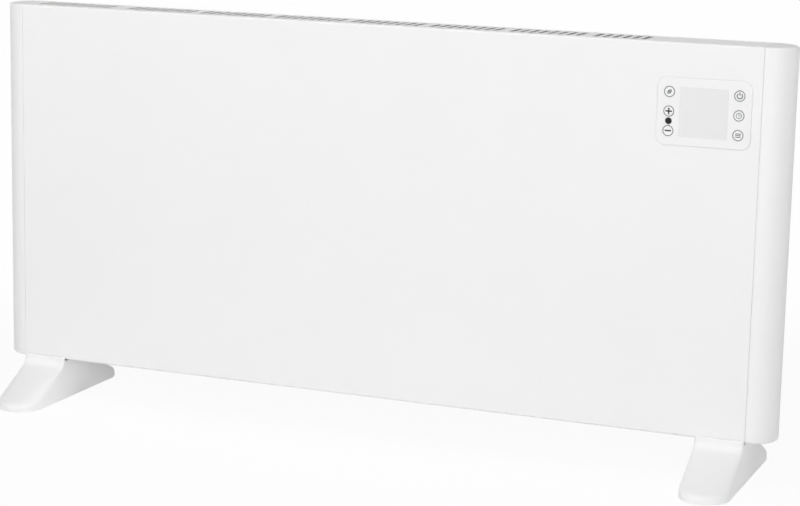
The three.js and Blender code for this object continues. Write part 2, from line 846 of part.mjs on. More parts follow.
function elementBracket(x) {
  const spanZ = [lowerElementZ - 36, upperElementZ + 36];
  const back = shieldY - 0.4;
  const plate = block([x - sheet / 2, x + sheet / 2], [-23, back], spanZ);
  const foot = block([x - sheet / 2, x + 12], [back - sheet, back], spanZ);
  const holes = [lowerElementZ, upperElementZ].map((z) => (
    rod('x', bushRadius, [x - 3, x + 3], [elementY, z], 12)
  ));
  return cut(join(plate, foot), ...holes);
}

// Reflector between the elements and the rear panel, its top edge turned to the front.
function heatShield() {
  const low = groundClearance + 65;
  const high = groundClearance + 350;
  const lean = 8;
  const profile = new THREE.Shape([
    new THREE.Vector2(shieldY, low),
    new THREE.Vector2(shieldY + 0.8, low),
    new THREE.Vector2(shieldY + 0.8, high),
    new THREE.Vector2(shieldY + 0.8 - lean, high + 22),
    new THREE.Vector2(shieldY - lean, high + 22),
    new THREE.Vector2(shieldY, high),
  ]);
  const studs = [];
  for (const x of [-360, -120, 120, 280]) {
    for (const z of [low + 15, high - 20]) {
      studs.push(rod('y', 4, [shieldY + 0.2, rearY - sheet - fitGap], [x, z], 6));
    }
  }
  return join(prism('x', profile, [-396, 300]), ...studs);
}

function compartmentWall() {
  const inside = casingDepth / 2 - sheet - 0.4;
  const spanZ = [bottomZ + sheet + grilleFlange + fitGap, topZ - sheet - grilleFlange - fitGap];
  const web = block([wallX, wallX + sheet], [-inside, inside], spanZ);
  const front = block([wallX - 12, wallX + sheet], [-inside, sheet - inside], spanZ);
  const rear = block([wallX - 12, wallX + sheet], [inside - sheet, inside], spanZ);
  const leadHole = rod('x', leadHoleRadius, [wallX - 2, wallX + 4], [elementY, leadHoleZ]);
  return cut(join(web, front, rear), leadHole);
}

function leadGrommet() {
  const bore = 6;
  const flange = leadHoleRadius + 2;
  const neck = leadHoleRadius - fitGap;
  const end = 2.2;
  const grip = sheet / 2 + fitGap;
  return turned('x', [
    [bore, -end],
    [flange, -end],
    [flange, -grip],
    [neck, -grip],
    [neck, grip],
    [flange, grip],
    [flange, end],
    [bore, end],
    [bore, -end],
  ], 12);
}

// Bimetal disc thermostat on the shield above the elements, with its two terminals.
function thermalCutout() {
  const face = shieldY - fitGap;
  return join(
    block([-12, 12], [face - 0.8, face], [-5, 5]),
    rod('y', 8, [face - 9, face - 0.4], [0, 0]),
    block([-6.5, -5.7], [face - 15, face - 8], [-3, 3]),
    block([5.7, 6.5], [face - 15, face - 8], [-3, 3]),
  );
}

// One-shot thermal link in a ceramic sleeve with its wire ends.
function thermalFuse() {
  const y = shieldY - 8;
  return join(
    rod('x', 3.4, [-9, 9], [y, 0], 12),
    rod('x', 1, [-22, 22], [y, 0], 8),
    block([-3, 3], [y, shieldY - fitGap], [-2, 2]),
  );
}

// ---- control compartment ----

function powerBoard() {
  const board = block([-46, 46], [0, boardThickness], [-58, 58]);
  const relays = [-40, -18].map((x) => block([x, x + 16], [-15.5, 0.2], [28, 48]));
  const transformer = block([8, 34], [-18, 0.2], [-8, 16]);
  const bigCapacitor = rod('y', 7, [-14, 0.2], [22, 38]);
  const smallCapacitor = rod('y', 4.5, [-8, 0.2], [-24, 4], 12);
  const mainsTerminals = block([-38, 2], [-10, 0.2], [-52, -42]);
  const controlConnector = block([12, 38], [-6, 0.2], [-52, -44]);
  return join(
    board,
    ...relays,
    transformer,
    bigCapacitor,
    smallCapacitor,
    mainsTerminals,
    controlConnector,
  );
}

function boardCarrier() {
  const back = rearY - sheet - fitGap;
  const base = block([-50, 50], [back - 2, back], [-62, 62]);
  const rails = [-1, 1].map((side) => block(
    [side > 0 ? 47 : -49, side > 0 ? 49 : -47],
    [8, back],
    [-62, 62],
  ));
  const posts = [];
  for (const x of [-38, 38]) {
    for (const z of [-50, 50]) {
      posts.push(rod('y', postRadius, [powerBoardY + boardThickness + fitGap, back - 1], [x, z], 10));
    }
  }
  return join(base, ...rails, ...posts);
}

function terminalBlock() {
  const back = rearY - sheet - fitGap;
  const body = block([-18, 18], [back - 14, back], [-7, 7]);
  const cutters = [];
  for (const x of [-12, 0, 12]) {
    cutters.push(rod('y', 2, [back - 15, back - 5], [x, 0], 8));
    cutters.push(block([x - 2, x + 2], [back - 7, back - 3], [-8, 8]));
  }
  return cut(body, ...cutters);
}

// Room temperature sensor in a clip on the end plate's shelf.
function roomSensor() {
  return join(
    block([-6, 6], [-4, 4], [0, 3]),
    block([-2, 2], [-2, 2], [2.5, 8]),
    rod('x', 2.2, [-9, 9], [0, 10], 12),
  );
}

// Bush in the rear sheet that the mains lead passes through.
function cordGland() {
  const inner = rearY - 8;
  const flange = 9.5;
  const outer = rearY + glandProud;
  return turned('y', [
    [glandBoreRadius, inner],
    [flange, inner],
    [flange, rearY - sheet - fitGap],
    [glandNeckRadius, rearY - sheet - fitGap],
    [glandNeckRadius, rearY + fitGap],
    [flange - 0.5, rearY + fitGap],
    [flange - 1.5, outer],
    [glandBoreRadius, outer],
    [glandBoreRadius, inner],
  ], 12);
}

function switchBody() {
  const face = rearY + fitGap;
  const bezel = prism('y', roundedShape(switchWidth + 3, switchHeight + 3.4, 1.5, 2), [face, face + 1.6]);
  const halfWidth = switchWidth / 2;
  const halfHeight = switchHeight / 2;
  const body = block([-halfWidth, halfWidth], [12, face + 0.5], [-halfHeight, halfHeight]);
  const blades = [-5, 5].map((z) => block([-2.4, 2.4], [4, 12.5], [z - 0.4, z + 0.4]));
  const cavityHalf = rockerWidth / 2 + fitGap;
  const cavity = rod('x', rockerRadius + fitGap, [-cavityHalf, cavityHalf], [switchPivotY, 0], 24);
  const pivots = rod('x', pivotPinRadius + 0.35, [-6.7, 6.7], [switchPivotY, 0], 12);
  return cut(join(body, bezel, ...blades), cavity, pivots);
}

// Rocker with round ends about its pivot and a hollowed face. Its origin is on the pivot.
function rocker() {
  const points = [];
  const arc = (from, to, steps) => {
    for (let step = 0; step <= steps; step += 1) {
      const angle = THREE.MathUtils.degToRad(from + ((to - from) * step) / steps);
      points.push(new THREE.Vector2(rockerRadius * Math.sin(angle), rockerRadius * Math.cos(angle)));
    }
  };
  points.push(new THREE.Vector2(3.4, 0));
  arc(35, -6, 4);
  points.push(new THREE.Vector2(-3.2, 2.4));
  points.push(new THREE.Vector2(-3.2, -2.4));
  arc(186, 145, 4);
  const body = prism('x', new THREE.Shape(points), [-rockerWidth / 2, rockerWidth / 2]);
  return join(body, rod('x', pivotPinRadius, [-6.3, 6.3], [0, 0], 12));
}

// ---- assembly ----

function piece(name, solid, finish) {
  const mesh = new THREE.Mesh(geometryOf(solid), new THREE.MeshStandardMaterial(finishes[finish]));
  mesh.name = name;
  return mesh;
}

function placed(object, x, y, z) {
  object.position.set(x, y, z);
  return object;
}

function casingGroup() {
  const group = new THREE.Group();
  group.add(piece('front_panel', frontPanel(), 'enamel'));
  group.add(piece('rear_panel', rearPanel(), 'enamel'));
  group.add(piece('top_grille', topGrille(), 'enamel'));
  group.add(piece('bottom_grille', bottomGrille(), 'enamel'));
  group.add(piece('right_end_plate', endPlate(true), 'zinc'));
  const leftPlate = piece('left_end_plate', endPlate(false), 'zinc');
  leftPlate.rotation.z = Math.PI;
  group.add(leftPlate);
  group.add(placed(piece('right_end_cap', endCap(), 'moulding'), seamX, 0, 0));
  const leftCap = placed(piece('left_end_cap', endCap(), 'moulding'), -seamX, 0, 0);
  leftCap.rotation.z = Math.PI;
  group.add(leftCap);
  return group;
}

function feetGroup() {
  const group = new THREE.Group();
  group.add(placed(piece('left_foot', foot(), 'moulding'), -footX, 0, 0));
  group.add(placed(piece('right_foot', foot(), 'moulding'), footX, 0, 0));
  const screwNames = ['left_front', 'left_rear', 'right_front', 'right_rear'];
  footScrewPlaces().forEach(([x, y], i) => {
    group.add(placed(piece(`${screwNames[i]}_foot_screw`, footScrew(), 'zinc'), x, y, 0));
  });
  return group;
}

function controlsGroup() {
  const group = new THREE.Group();
  group.position.set(fasciaX, frontY, fasciaZ);
  group.add(piece('control_fascia', controlFascia(), 'fascia'));
  group.add(piece('display_window', displayWindow(), 'display'));
  group.add(piece('lcd_module', lcdModule(), 'display'));
  group.add(piece('control_board', controlBoard(), 'board'));
  group.add(piece('control_housing', controlHousing(), 'moulding'));
  group.add(placed(piece('ir_window', irWindow(), 'black'), -keyColumn, 0, -keyPitch / 2));
  const keyNames = ['economy_key', 'plus_key', 'minus_key', 'power_key', 'timer_key', 'menu_key'];
  keyPlaces().forEach(([x, z], i) => {
    group.add(placed(piece(keyNames[i], pushKey(), 'fascia'), x, 0, z));
  });
  return group;
}

function heatingGroup() {
  const group = new THREE.Group();
  for (const [name, z] of [['lower', lowerElementZ], ['upper', upperElementZ]]) {
    group.add(placed(piece(`${name}_heating_element`, heatingElement(), 'aluminium'), 0, elementY, z));
    group.add(placed(piece(`${name}_left_bush`, elementBush(), 'ceramic'), leftBracketX, elementY, z));
    group.add(placed(piece(`${name}_right_bush`, elementBush(), 'ceramic'), rightBracketX, elementY, z));
  }
  group.add(piece('left_element_bracket', elementBracket(leftBracketX), 'zinc'));
  group.add(piece('right_element_bracket', elementBracket(rightBracketX), 'zinc'));
  group.add(piece('heat_shield', heatShield(), 'zinc'));
  group.add(piece('compartment_wall', compartmentWall(), 'zinc'));
  const grommet = piece('lead_grommet', leadGrommet(), 'rubber');
  group.add(placed(grommet, wallX + sheet / 2, elementY, leadHoleZ));
  group.add(placed(piece('thermal_cutout', thermalCutout(), 'black'), cutoutX, 0, guardZ));
  group.add(placed(piece('thermal_fuse', thermalFuse(), 'ceramic'), fuseX, 0, guardZ));
  return group;
}

function electricsGroup() {
  const group = new THREE.Group();
  group.add(placed(piece('power_board', powerBoard(), 'board'), powerBoardX, powerBoardY, powerBoardZ));
  group.add(placed(piece('board_carrier', boardCarrier(), 'black'), powerBoardX, 0, powerBoardZ));
  group.add(placed(piece('terminal_block', terminalBlock(), 'ceramic'), powerBoardX, 0, terminalZ));
  const shelfZ = bottomZ + 1.5 + sheet + fitGap;
  group.add(placed(piece('room_sensor', roomSensor(), 'black'), footX, 0, shelfZ));
  group.add(placed(piece('cord_gland', cordGland(), 'black'), glandX, 0, glandZ));
  group.add(placed(piece('mains_switch_body', switchBody(), 'black'), switchX, 0, switchZ));
  const mainsRocker = placed(piece('mains_rocker', rocker(), 'black'), switchX, switchPivotY, switchZ);
  mainsRocker.rotation.x = -rockerTilt;
  group.add(mainsRocker);
  return group;
}

const heater = new THREE.Group();
heater.add(casingGroup());
heater.add(feetGroup());
heater.add(controlsGroup());
heater.add(heatingGroup());
heater.add(electricsGroup());

export default heater;
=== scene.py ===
import math

import bmesh
import bpy
from mathutils import Matrix, Vector


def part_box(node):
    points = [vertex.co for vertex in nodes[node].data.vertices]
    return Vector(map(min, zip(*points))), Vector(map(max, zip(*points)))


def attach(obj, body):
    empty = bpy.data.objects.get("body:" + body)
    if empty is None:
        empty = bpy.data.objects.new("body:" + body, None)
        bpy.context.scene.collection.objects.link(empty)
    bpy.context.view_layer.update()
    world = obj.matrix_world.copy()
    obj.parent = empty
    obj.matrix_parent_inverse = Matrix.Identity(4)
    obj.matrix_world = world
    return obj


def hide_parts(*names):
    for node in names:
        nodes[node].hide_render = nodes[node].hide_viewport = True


# Panel convector heater, in metres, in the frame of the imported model:
# the front faces -Y, +X is the viewer's right, and the floor is at z = 0.
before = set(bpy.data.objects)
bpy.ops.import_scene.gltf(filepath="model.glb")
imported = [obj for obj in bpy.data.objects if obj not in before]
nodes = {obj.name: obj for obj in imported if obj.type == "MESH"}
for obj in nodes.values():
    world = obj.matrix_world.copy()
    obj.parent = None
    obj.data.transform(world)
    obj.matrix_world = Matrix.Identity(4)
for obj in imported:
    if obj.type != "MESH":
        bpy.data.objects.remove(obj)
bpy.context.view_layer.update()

cameraView = {
    "place": (0.9499, -2.2885, 0.6884),
    "azimuth": 21.886,  # degrees to the right of the front
    "elevation": 10.962,
    "roll": 1.239,
    "lens": 100.857,
    "sensor": 36.0,
    "clip": (0.05, 100),
}


def placeCamera(place, azimuth, elevation, roll, lens, sensor, clip):
    azimuth = math.radians(azimuth)
    elevation = math.radians(elevation)
    forward = Vector((
        -math.sin(azimuth) * math.cos(elevation),
        math.cos(azimuth) * math.cos(elevation),
        -math.sin(elevation),
    ))
    level = Vector((math.cos(azimuth), math.sin(azimuth), 0))
    turn = Matrix.Rotation(-math.radians(roll), 3, forward)
    right = turn @ level
    up = turn @ level.cross(forward)
    data = bpy.data.cameras.new("photoCamera")
    data.lens = lens
    data.sensor_width = sensor
    data.clip_start, data.clip_end = clip
    camera = bpy.data.objects.new("photoCamera", data)
    axes = Matrix((right, up, -forward)).transposed().to_4x4()
    camera.matrix_world = Matrix.Translation(place) @ axes
    bpy.context.scene.collection.objects.link(camera)
    bpy.context.scene.camera = camera


def linearColour(hexValue):
    channels = [int(hexValue[i:i + 2], 16) / 255 for i in (1, 3, 5)]
    linear = [c / 12.92 if c <= 0.04045 else ((c + 0.055) / 1.055) ** 2.4 for c in channels]
    return (*linear, 1.0)


# Adds a node; a link's value is another node's output or a plain value for the socket.
def addNode(tree, kind, settings=None, links=None):
    node = tree.nodes.new(kind)
    for name, value in (settings or {}).items():
        setattr(node, name, value)
    for socket, value in (links or {}).items():
        if isinstance(value, bpy.types.NodeSocket):
            tree.links.new(value, node.inputs[socket])
        else:
            node.inputs[socket].default_value = value
    return node


studio = {
    "floorSize": 30.0,
    "floorColour": "#f6f6f6",
    # share of plain white in what is seen of the floor: beside the heater, and away from it
    "glowNear": 0.94,
    "glowFar": 0.99,
    "glowFrom": 0.50,
    "glowTo": 1.10,
    # light of the white walls: all round the horizon, and more of it from the right
    "wallLight": 0.555,
    "rightWallLight": 2.36,
    "rightFrom": 0.2,
    "rightTo": 0.9,
    "wallTop": 0.45,  # sine of the height at which it has faded out
    "lamps": [
        # name, place, aim, width, height, watts
        ("frontSoftbox", (1.3, -2.4, 0.9), (-0.2, 0.0, 0.2), 1.2, 1.0, 19.5),
        ("leftSoftbox", (-2.8, -2.6, 1.2), (0.0, 0.0, 0.25), 1.6, 1.4, 16.5),
        ("leftHighSoftbox", (-1.6, -2.8, 2.6), (0.0, 0.0, 0.25), 1.4, 1.2, 39),
        ("rightHighSoftbox", (2.3, -1.5, 2.6), (0.0, 0.0, 0.25), 0.5, 0.5, 9.3),
        ("topSoftbox", (0.0, -0.6, 3.4), (0.0, 0.0, 0.25), 2.4, 2.0, 28),
    ],
}
plainWhite = (1, 1, 1, 1)


# 1 for what the camera, a mirror or clear plastic sees directly, otherwise 0.
def seenDirectly(tree):
    path = addNode(tree, "ShaderNodeLightPath")
    mirrored = addNode(tree, "ShaderNodeMath", {"operation": "MAXIMUM"},
                       {0: path.outputs["Is Camera Ray"], 1: path.outputs["Is Glossy Ray"]})
    return addNode(tree, "ShaderNodeMath", {"operation": "MAXIMUM"},
                   {0: mirrored.outputs[0], 1: path.outputs["Is Transmission Ray"]})


# Walls that light the heater and that are plain white where they are seen.
def makeWalls(values):
    world = bpy.data.worlds.new("whiteStudio")
    world.use_nodes = True
    tree = world.node_tree
    tree.nodes.clear()
    way = addNode(tree, "ShaderNodeTexCoord")
    parts = addNode(tree, "ShaderNodeSeparateXYZ", {}, {0: way.outputs["Generated"]})
    fade = addNode(tree, "ShaderNodeMapRange", {"interpolation_type": "SMOOTHSTEP"}, {
        "Value": parts.outputs["Z"], "From Min": 0.0, "From Max": values["wallTop"],
        "To Min": 1.0, "To Max": 0.0})
    side = addNode(tree, "ShaderNodeMapRange", {"interpolation_type": "SMOOTHSTEP"}, {
        "Value": parts.outputs["X"], "From Min": values["rightFrom"], "From Max": values["rightTo"],
        "To Min": values["wallLight"], "To Max": values["rightWallLight"]})
    level = addNode(tree, "ShaderNodeMath", {"operation": "MULTIPLY"},
                    {0: fade.outputs[0], 1: side.outputs[0]})
    sky = addNode(tree, "ShaderNodeBackground", {}, {"Color": plainWhite, "Strength": level.outputs[0]})
    white = addNode(tree, "ShaderNodeBackground", {}, {"Color": plainWhite, "Strength": 1.0})
    mixed = addNode(tree, "ShaderNodeMixShader", {},
                    {0: seenDirectly(tree).outputs[0], 1: sky.outputs[0], 2: white.outputs[0]})
    addNode(tree, "ShaderNodeOutputWorld", {}, {"Surface": mixed.outputs[0]})
    bpy.context.scene.world = world


# Matt paper that shows the heater's shadow and is nearly white where it is seen.
def makeFloor(values):
    floorMaterial = bpy.data.materials.new("studioPaper")
    floorMaterial.use_nodes = True
    tree = floorMaterial.node_tree
    tree.nodes.clear()
    paper = addNode(tree, "ShaderNodeBsdfDiffuse", {}, {"Color": linearColour(values["floorColour"])})
    glow = addNode(tree, "ShaderNodeEmission", {}, {"Color": plainWhite, "Strength": 1.0})
    place = addNode(tree, "ShaderNodeTexCoord")
    away = addNode(tree, "ShaderNodeVectorMath", {"operation": "LENGTH"}, {0: place.outputs["Object"]})
    whiteness = addNode(tree, "ShaderNodeMapRange", {"interpolation_type": "SMOOTHSTEP"}, {
        "Value": away.outputs["Value"], "From Min": values["glowFrom"], "From Max": values["glowTo"],
        "To Min": values["glowNear"], "To Max": values["glowFar"]})
    share = addNode(tree, "ShaderNodeMath", {"operation": "MULTIPLY"},
                    {0: seenDirectly(tree).outputs[0], 1: whiteness.outputs[0]})
    mixed = addNode(tree, "ShaderNodeMixShader", {},
                    {0: share.outputs[0], 1: paper.outputs[0], 2: glow.outputs[0]})
    addNode(tree, "ShaderNodeOutputMaterial", {}, {"Surface": mixed.outputs[0]})

    half = values["floorSize"] / 2
    corners = [(-half, -half, 0), (half, -half, 0), (half, half, 0), (-half, half, 0)]
    mesh = bpy.data.meshes.new("studioFloor")
    mesh.from_pydata(corners, [], [(0, 1, 2, 3)])
    mesh.materials.append(floorMaterial)
    floor = bpy.data.objects.new("studioFloor", mesh)
    bpy.context.scene.collection.objects.link(floor)


def makeLamps(lamps):
    for name, place, aim, width, height, watts in lamps:
        data = bpy.data.lights.new(name, "AREA")
        data.shape = "RECTANGLE"
        data.size = width
        data.size_y = height
        data.energy = watts
        lamp = bpy.data.objects.new(name, data)
        lamp.location = place
        lamp.rotation_euler = (Vector(aim) - Vector(place)).to_track_quat("-Z", "Y").to_euler()
        bpy.context.scene.collection.objects.link(lamp)


placeCamera(**cameraView)
makeWalls(studio)
makeFloor(studio)
makeLamps(studio["lamps"])
bpy.context.scene.view_settings.view_transform = "Standard"
print("stage: camera and studio")


# Starts a material: its principled shader with the values for its own sockets, and
# object coordinates, which are metres here, so that 1 / size is a pattern's scale.
def startMaterial(name, values):
    material = bpy.data.materials.new(name)
    material.use_nodes = True
    tree = material.node_tree
    tree.nodes.clear()
    shader = addNode(tree, "ShaderNodeBsdfPrincipled", {}, values["sockets"])
    addNode(tree, "ShaderNodeOutputMaterial", {}, {"Surface": shader.outputs[0]})
    place = addNode(tree, "ShaderNodeTexCoord").outputs["Object"]
    return material, tree, shader, place


# Joins a surface's pattern to its shader: two shades, a range of roughness, and a relief.
def finishSurface(tree, shader, pattern, values, relief=None):
    low, high = values["shades"]
    shade = addNode(tree, "ShaderNodeMix", {"data_type": "RGBA"},
                    {0: pattern, 6: linearColour(low), 7: linearColour(high)})
    gloss = addNode(tree, "ShaderNodeMapRange", {}, {
        "Value": pattern, "From Min": 0.3, "From Max": 0.7,
        "To Min": values["roughness"][0], "To Max": values["roughness"][1]})
    tree.links.new(shade.outputs[2], shader.inputs["Base Color"])
    tree.links.new(gloss.outputs[0], shader.inputs["Roughness"])
    if relief is not None:
        bump = addNode(tree, "ShaderNodeBump", {}, {
            "Height": relief, "Strength": values["strength"], "Distance": values["depth"]})
        tree.links.new(bump.outputs[0], shader.inputs["Normal"])


# Material with a fine grain, which may be drawn out along X. Shade and gloss follow the
# grain, or a broad drift where there is one, and the grain stands in relief where it has depth.
def grainedMaterial(name, values):
    material, tree, shader, place = startMaterial(name, values)
    scale = 1 / values["grain"]
    if "along" in values:
        stretch = (scale / values["along"], scale, scale)
        place = addNode(tree, "ShaderNodeMapping", {}, {"Vector": place, "Scale": stretch}).outputs[0]
        scale = 1.0
    grain = addNode(tree, "ShaderNodeTexNoise", {},
                    {"Vector": place, "Scale": scale, "Detail": values["detail"]})
    pattern = grain
    if "drift" in values:
        pattern = addNode(tree, "ShaderNodeTexNoise", {},
                          {"Vector": place, "Scale": 1 / values["drift"], "Detail": 2.0})
    finishSurface(tree, shader, pattern.outputs[0], values, grain.outputs[0] if "depth" in values else None)
    return material


finishes = {}

# Mild steel, sprayed with epoxy powder and baked: satin white with a faint orange peel.
finishes["powderCoat"] = grainedMaterial("powderCoatedSteel", {
    "sockets": {"IOR": 1.5},
    "shades": ("#f0f0f0", "#f2f2f2"),
    "roughness": (0.34, 0.40),
    "drift": 0.12,  # the coat is a little thicker here and there
    "grain": 0.0022,  # crest to crest of the orange peel
    "detail": 3.0,
    "strength": 0.5,
    "depth": 0.00002,
})

sparkAbs = {
    "sockets": {"IOR": 1.53},
    "shades": ("#f0f0f0", "#f2f2f2"),
    "roughness": (0.48, 0.56),
    "flow": 0.09,  # the melt's flow shows over the length of a part
    "pit": 0.0009,  # real pits are 0.1 mm, drawn coarser so that they show
    "softness": 0.6,
    "strength": 0.4,
    "depth": 0.00002,
}


# ABS moulded against a spark-eroded tool: white and dry, with a very fine dimpled skin.
def sparkTexturedAbs(values):
    material, tree, shader, place = startMaterial("sparkTexturedAbs", values)
    flow = addNode(tree, "ShaderNodeTexNoise", {},
                   {"Vector": place, "Scale": 1 / values["flow"], "Detail": 2.0})
    pits = addNode(tree, "ShaderNodeTexVoronoi", {"feature": "SMOOTH_F1"},
                   {"Vector": place, "Scale": 1 / values["pit"], "Smoothness": values["softness"]})
    finishSurface(tree, shader, flow.outputs[0], values, pits.outputs["Distance"])
    return material


finishes["sparkAbs"] = sparkTexturedAbs(sparkAbs)

# ABS moulded in a stoned and polished tool: smooth satin, a shade whiter than the paint.
finishes["satinAbs"] = grainedMaterial("satinAbs", {
    "sockets": {"IOR": 1.53},
    "shades": ("#f0f0f0", "#f1f1f1"),
    "roughness": (0.30, 0.35),
    "drift": 0.03,  # the melt's flow
    "grain": 0.0006,  # what a diamond-stoned tool leaves
    "detail": 1.0,
    "strength": 0.15,
    "depth": 0.000006,
})

# Acrylic, cast and laid over a liquid crystal display that is off: even pale grey under gloss.
finishes["displayPane"] = grainedMaterial("backedAcrylic", {
    "sockets": {"IOR": 1.49, "Coat Weight": 0.4, "Coat Roughness": 0.06, "Coat IOR": 1.49},
    "shades": ("#e7e7e7", "#e9e9e9"),
    "roughness": (0.30, 0.36),
    "grain": 0.012,
    "detail": 1.0,
})

# Polycarbonate that only infrared passes, moulded and polished: black and glossy.
finishes["irPane"] = grainedMaterial("polishedPolycarbonate", {
    "sockets": {"IOR": 1.58, "Specular IOR Level": 0.25},
    "shades": ("#141417", "#1c1c20"),
    "roughness": (0.20, 0.28),
    "grain": 0.002,
    "detail": 1.0,
})

# Pad-printed ink: flat and matt, with its pigment slightly uneven. The pigment stands at
# the surface, so little of it is gloss.
padPrint = {
    "sockets": {"IOR": 1.48, "Specular IOR Level": 0.2},
    "roughness": (0.50, 0.60),
    "grain": 0.0003,
    "detail": 2.0,
}
inkShades = {
    "grey": ("#5e5e5f", "#69696a"),
    "black": ("#0d0d0e", "#161617"),
    "white": ("#e2e2e0", "#eeeeec"),
}
for shade, pair in inkShades.items():
    finishes[shade + "Ink"] = grainedMaterial(shade + "PadPrint", {**padPrint, "shades": pair})

# Nylon moulded black with glass fibre: dull, with short fibres lying in its skin.
finishes["nylon"] = grainedMaterial("mouldedNylon", {
    "sockets": {"IOR": 1.53},
    "shades": ("#17181a", "#222325"),
    "roughness": (0.38, 0.50),
    "grain": 0.0009,
    "along": 4,
    "detail": 3.0,
    "strength": 0.3,
    "depth": 0.00002,
})

zincSheet = {
    "sockets": {"Metallic": 1.0},
    "shades": ("#a3a7aa", "#cbced0"),
    "roughness": (0.36, 0.50),
    "spangle": 0.009,  # width of one zinc crystal
    "rolling": 0.0012,
    "along": 14,
    "strength": 0.2,
    "depth": 0.00001,
}


# Mild steel sheet, hot-dip galvanised: grey zinc in soft crystal patches, with rolling lines.
def galvanisedSheet(values):
    material, tree, shader, place = startMaterial("galvanisedSheet", values)
    spangle = addNode(tree, "ShaderNodeTexVoronoi", {"feature": "F1"},
                      {"Vector": place, "Scale": 1 / values["spangle"]})
    tone = addNode(tree, "ShaderNodeSeparateColor", {}, {0: spangle.outputs["Color"]})
    scale = 1 / values["rolling"]
    drawn = addNode(tree, "ShaderNodeMapping", {},
                    {"Vector": place, "Scale": (scale / values["along"], scale, scale)})
    lines = addNode(tree, "ShaderNodeTexNoise", {},
                    {"Vector": drawn.outputs[0], "Scale": 1.0, "Detail": 2.0})
    finishSurface(tree, shader, tone.outputs[0], values, lines.outputs[0])
    return material


finishes["galvanised"] = galvanisedSheet(zincSheet)

# Steel, cold-headed and electroplated with zinc: bright grey with fine forming marks.
finishes["screwSteel"] = grainedMaterial("zincPlatedSteel", {
    "sockets": {"Metallic": 1.0},
    "shades": ("#b4b8ba", "#d6d9da"),
    "roughness": (0.22, 0.36),
    "grain": 0.0005,
    "detail": 2.0,
    "strength": 0.2,
    "depth": 0.00001,
})

# Aluminium, as extruded: bright, with fine draw lines all along its length.
finishes["aluminium"] = grainedMaterial("extrudedAluminium", {
    "sockets": {"Metallic": 1.0},
    "shades": ("#b6b8ba", "#dcdedf"),
    "roughness": (0.26, 0.42),
    "grain": 0.0006,  # across one draw line, drawn a little coarser than real
    "along": 60,
    "detail": 2.0,
    "strength": 0.3,
    "depth": 0.00002,
})

# Steatite, dry-pressed and fired without glaze: chalky cream with pin holes.
finishes["steatite"] = grainedMaterial("firedSteatite", {
    "sockets": {"IOR": 1.55},
    "shades": ("#dcd5c6", "#ece7dc"),
    "roughness": (0.60, 0.75),
    "grain": 0.0012,
    "detail": 4.0,
    "strength": 0.4,
    "depth": 0.00004,
})

laminate = {
    "sockets": {"IOR": 1.55},
    "shades": ("#1d5b3a", "#2f7a4f"),
    "roughness": (0.25, 0.40),
    "weave": 0.0008,  # glass yarns, side by side
    "waviness": 1.5,
    "strength": 0.2,
    "depth": 0.00001,
}


# Glass-fibre laminate, pressed and coated with solder resist: green gloss over a faint weave.
def solderMaskedLaminate(values):
    material, tree, shader, place = startMaterial("solderMaskedLaminate", values)
    # at scale 1 the bands of a wave texture are 0.314 apart
    bands = {"Vector": place, "Scale": 0.314 / values["weave"], "Distortion": values["waviness"]}
    yarns = addNode(tree, "ShaderNodeTexWave", {"wave_type": "BANDS", "bands_direction": "X"}, bands)
    picks = addNode(tree, "ShaderNodeTexWave", {"wave_type": "BANDS", "bands_direction": "Z"}, bands)
    weave = addNode(tree, "ShaderNodeMath", {"operation": "MULTIPLY"},
                    {0: yarns.outputs["Fac"], 1: picks.outputs["Fac"]})
    finishSurface(tree, shader, weave.outputs[0], values, weave.outputs[0])
    return material


finishes["laminate"] = solderMaskedLaminate(laminate)

# EPDM rubber, compression moulded: matt black that scatters light evenly.
finishes["rubber"] = grainedMaterial("mouldedRubber", {
    "sockets": {"IOR": 1.5},
    "shades": ("#1c1c1c", "#292929"),
    "roughness": (0.70, 0.85),
    "grain": 0.0006,
    "detail": 3.0,
    "strength": 0.3,
    "depth": 0.00003,
})
print("stage: materials")


lap = 0.001  # how far a cutter or an inner piece runs past a face


# Mesh object from a bmesh, in place.
def pieceFrom(name, shape, material):
    mesh = bpy.data.meshes.new(name)
    shape.to_mesh(mesh)
    shape.free()
    mesh.materials.append(material)
    piece = bpy.data.objects.new(name, mesh)
    bpy.context.scene.collection.objects.link(piece)
    return piece


# The same for a new closed shape, with its faces turned to point out.
def closedPiece(name, shape, finish):
    bmesh.ops.recalc_face_normals(shape, faces=shape.faces)
    return pieceFrom(name, shape, finishes[finish])


# Skin through rings of points, where a ring of one point is a pole. The rings may close on
# themselves, otherwise each end has a flat face or is a pole.
def loft(name, rings, finish, closed=False):
    shape = bmesh.new()
    loops = [[shape.verts.new(point) for point in ring] for ring in rings]
    count = max(len(loop) for loop in loops)
    pairs = list(zip(loops, loops[1:]))
    if closed:
        pairs.append((loops[-1], loops[0]))
    for low, high in pairs:
        for i in range(count):
            following = (i + 1) % count
            corners = [low[i % len(low)], low[following % len(low)],
                       high[following % len(high)], high[i % len(high)]]
            shape.faces.new(list(dict.fromkeys(corners)))
    for end in (loops[0], loops[-1]):
        if len(end) > 1 and not closed:
            shape.faces.new(end)
    return closedPiece(name, shape, finish)


# Puts a point of a flat outline at a distance along one axis; u and v follow X, Y, Z order.
def onAxis(axis, u, v, along):
    if axis == "x":
        return (along, u, v)
    if axis == "y":
        return (u, along, v)
    return (u, v, along)


def prism(name, axis, outline, span, finish="powderCoat"):
    rings = [[onAxis(axis, u, v, along) for u, v in outline] for along in span]
    return loft(name, rings, finish)


def block(name, low, high, finish="powderCoat"):
    outline = [(low[0], low[1]), (high[0], low[1]), (high[0], high[1]), (low[0], high[1])]
    return prism(name, "z", outline, (low[2], high[2]), finish)


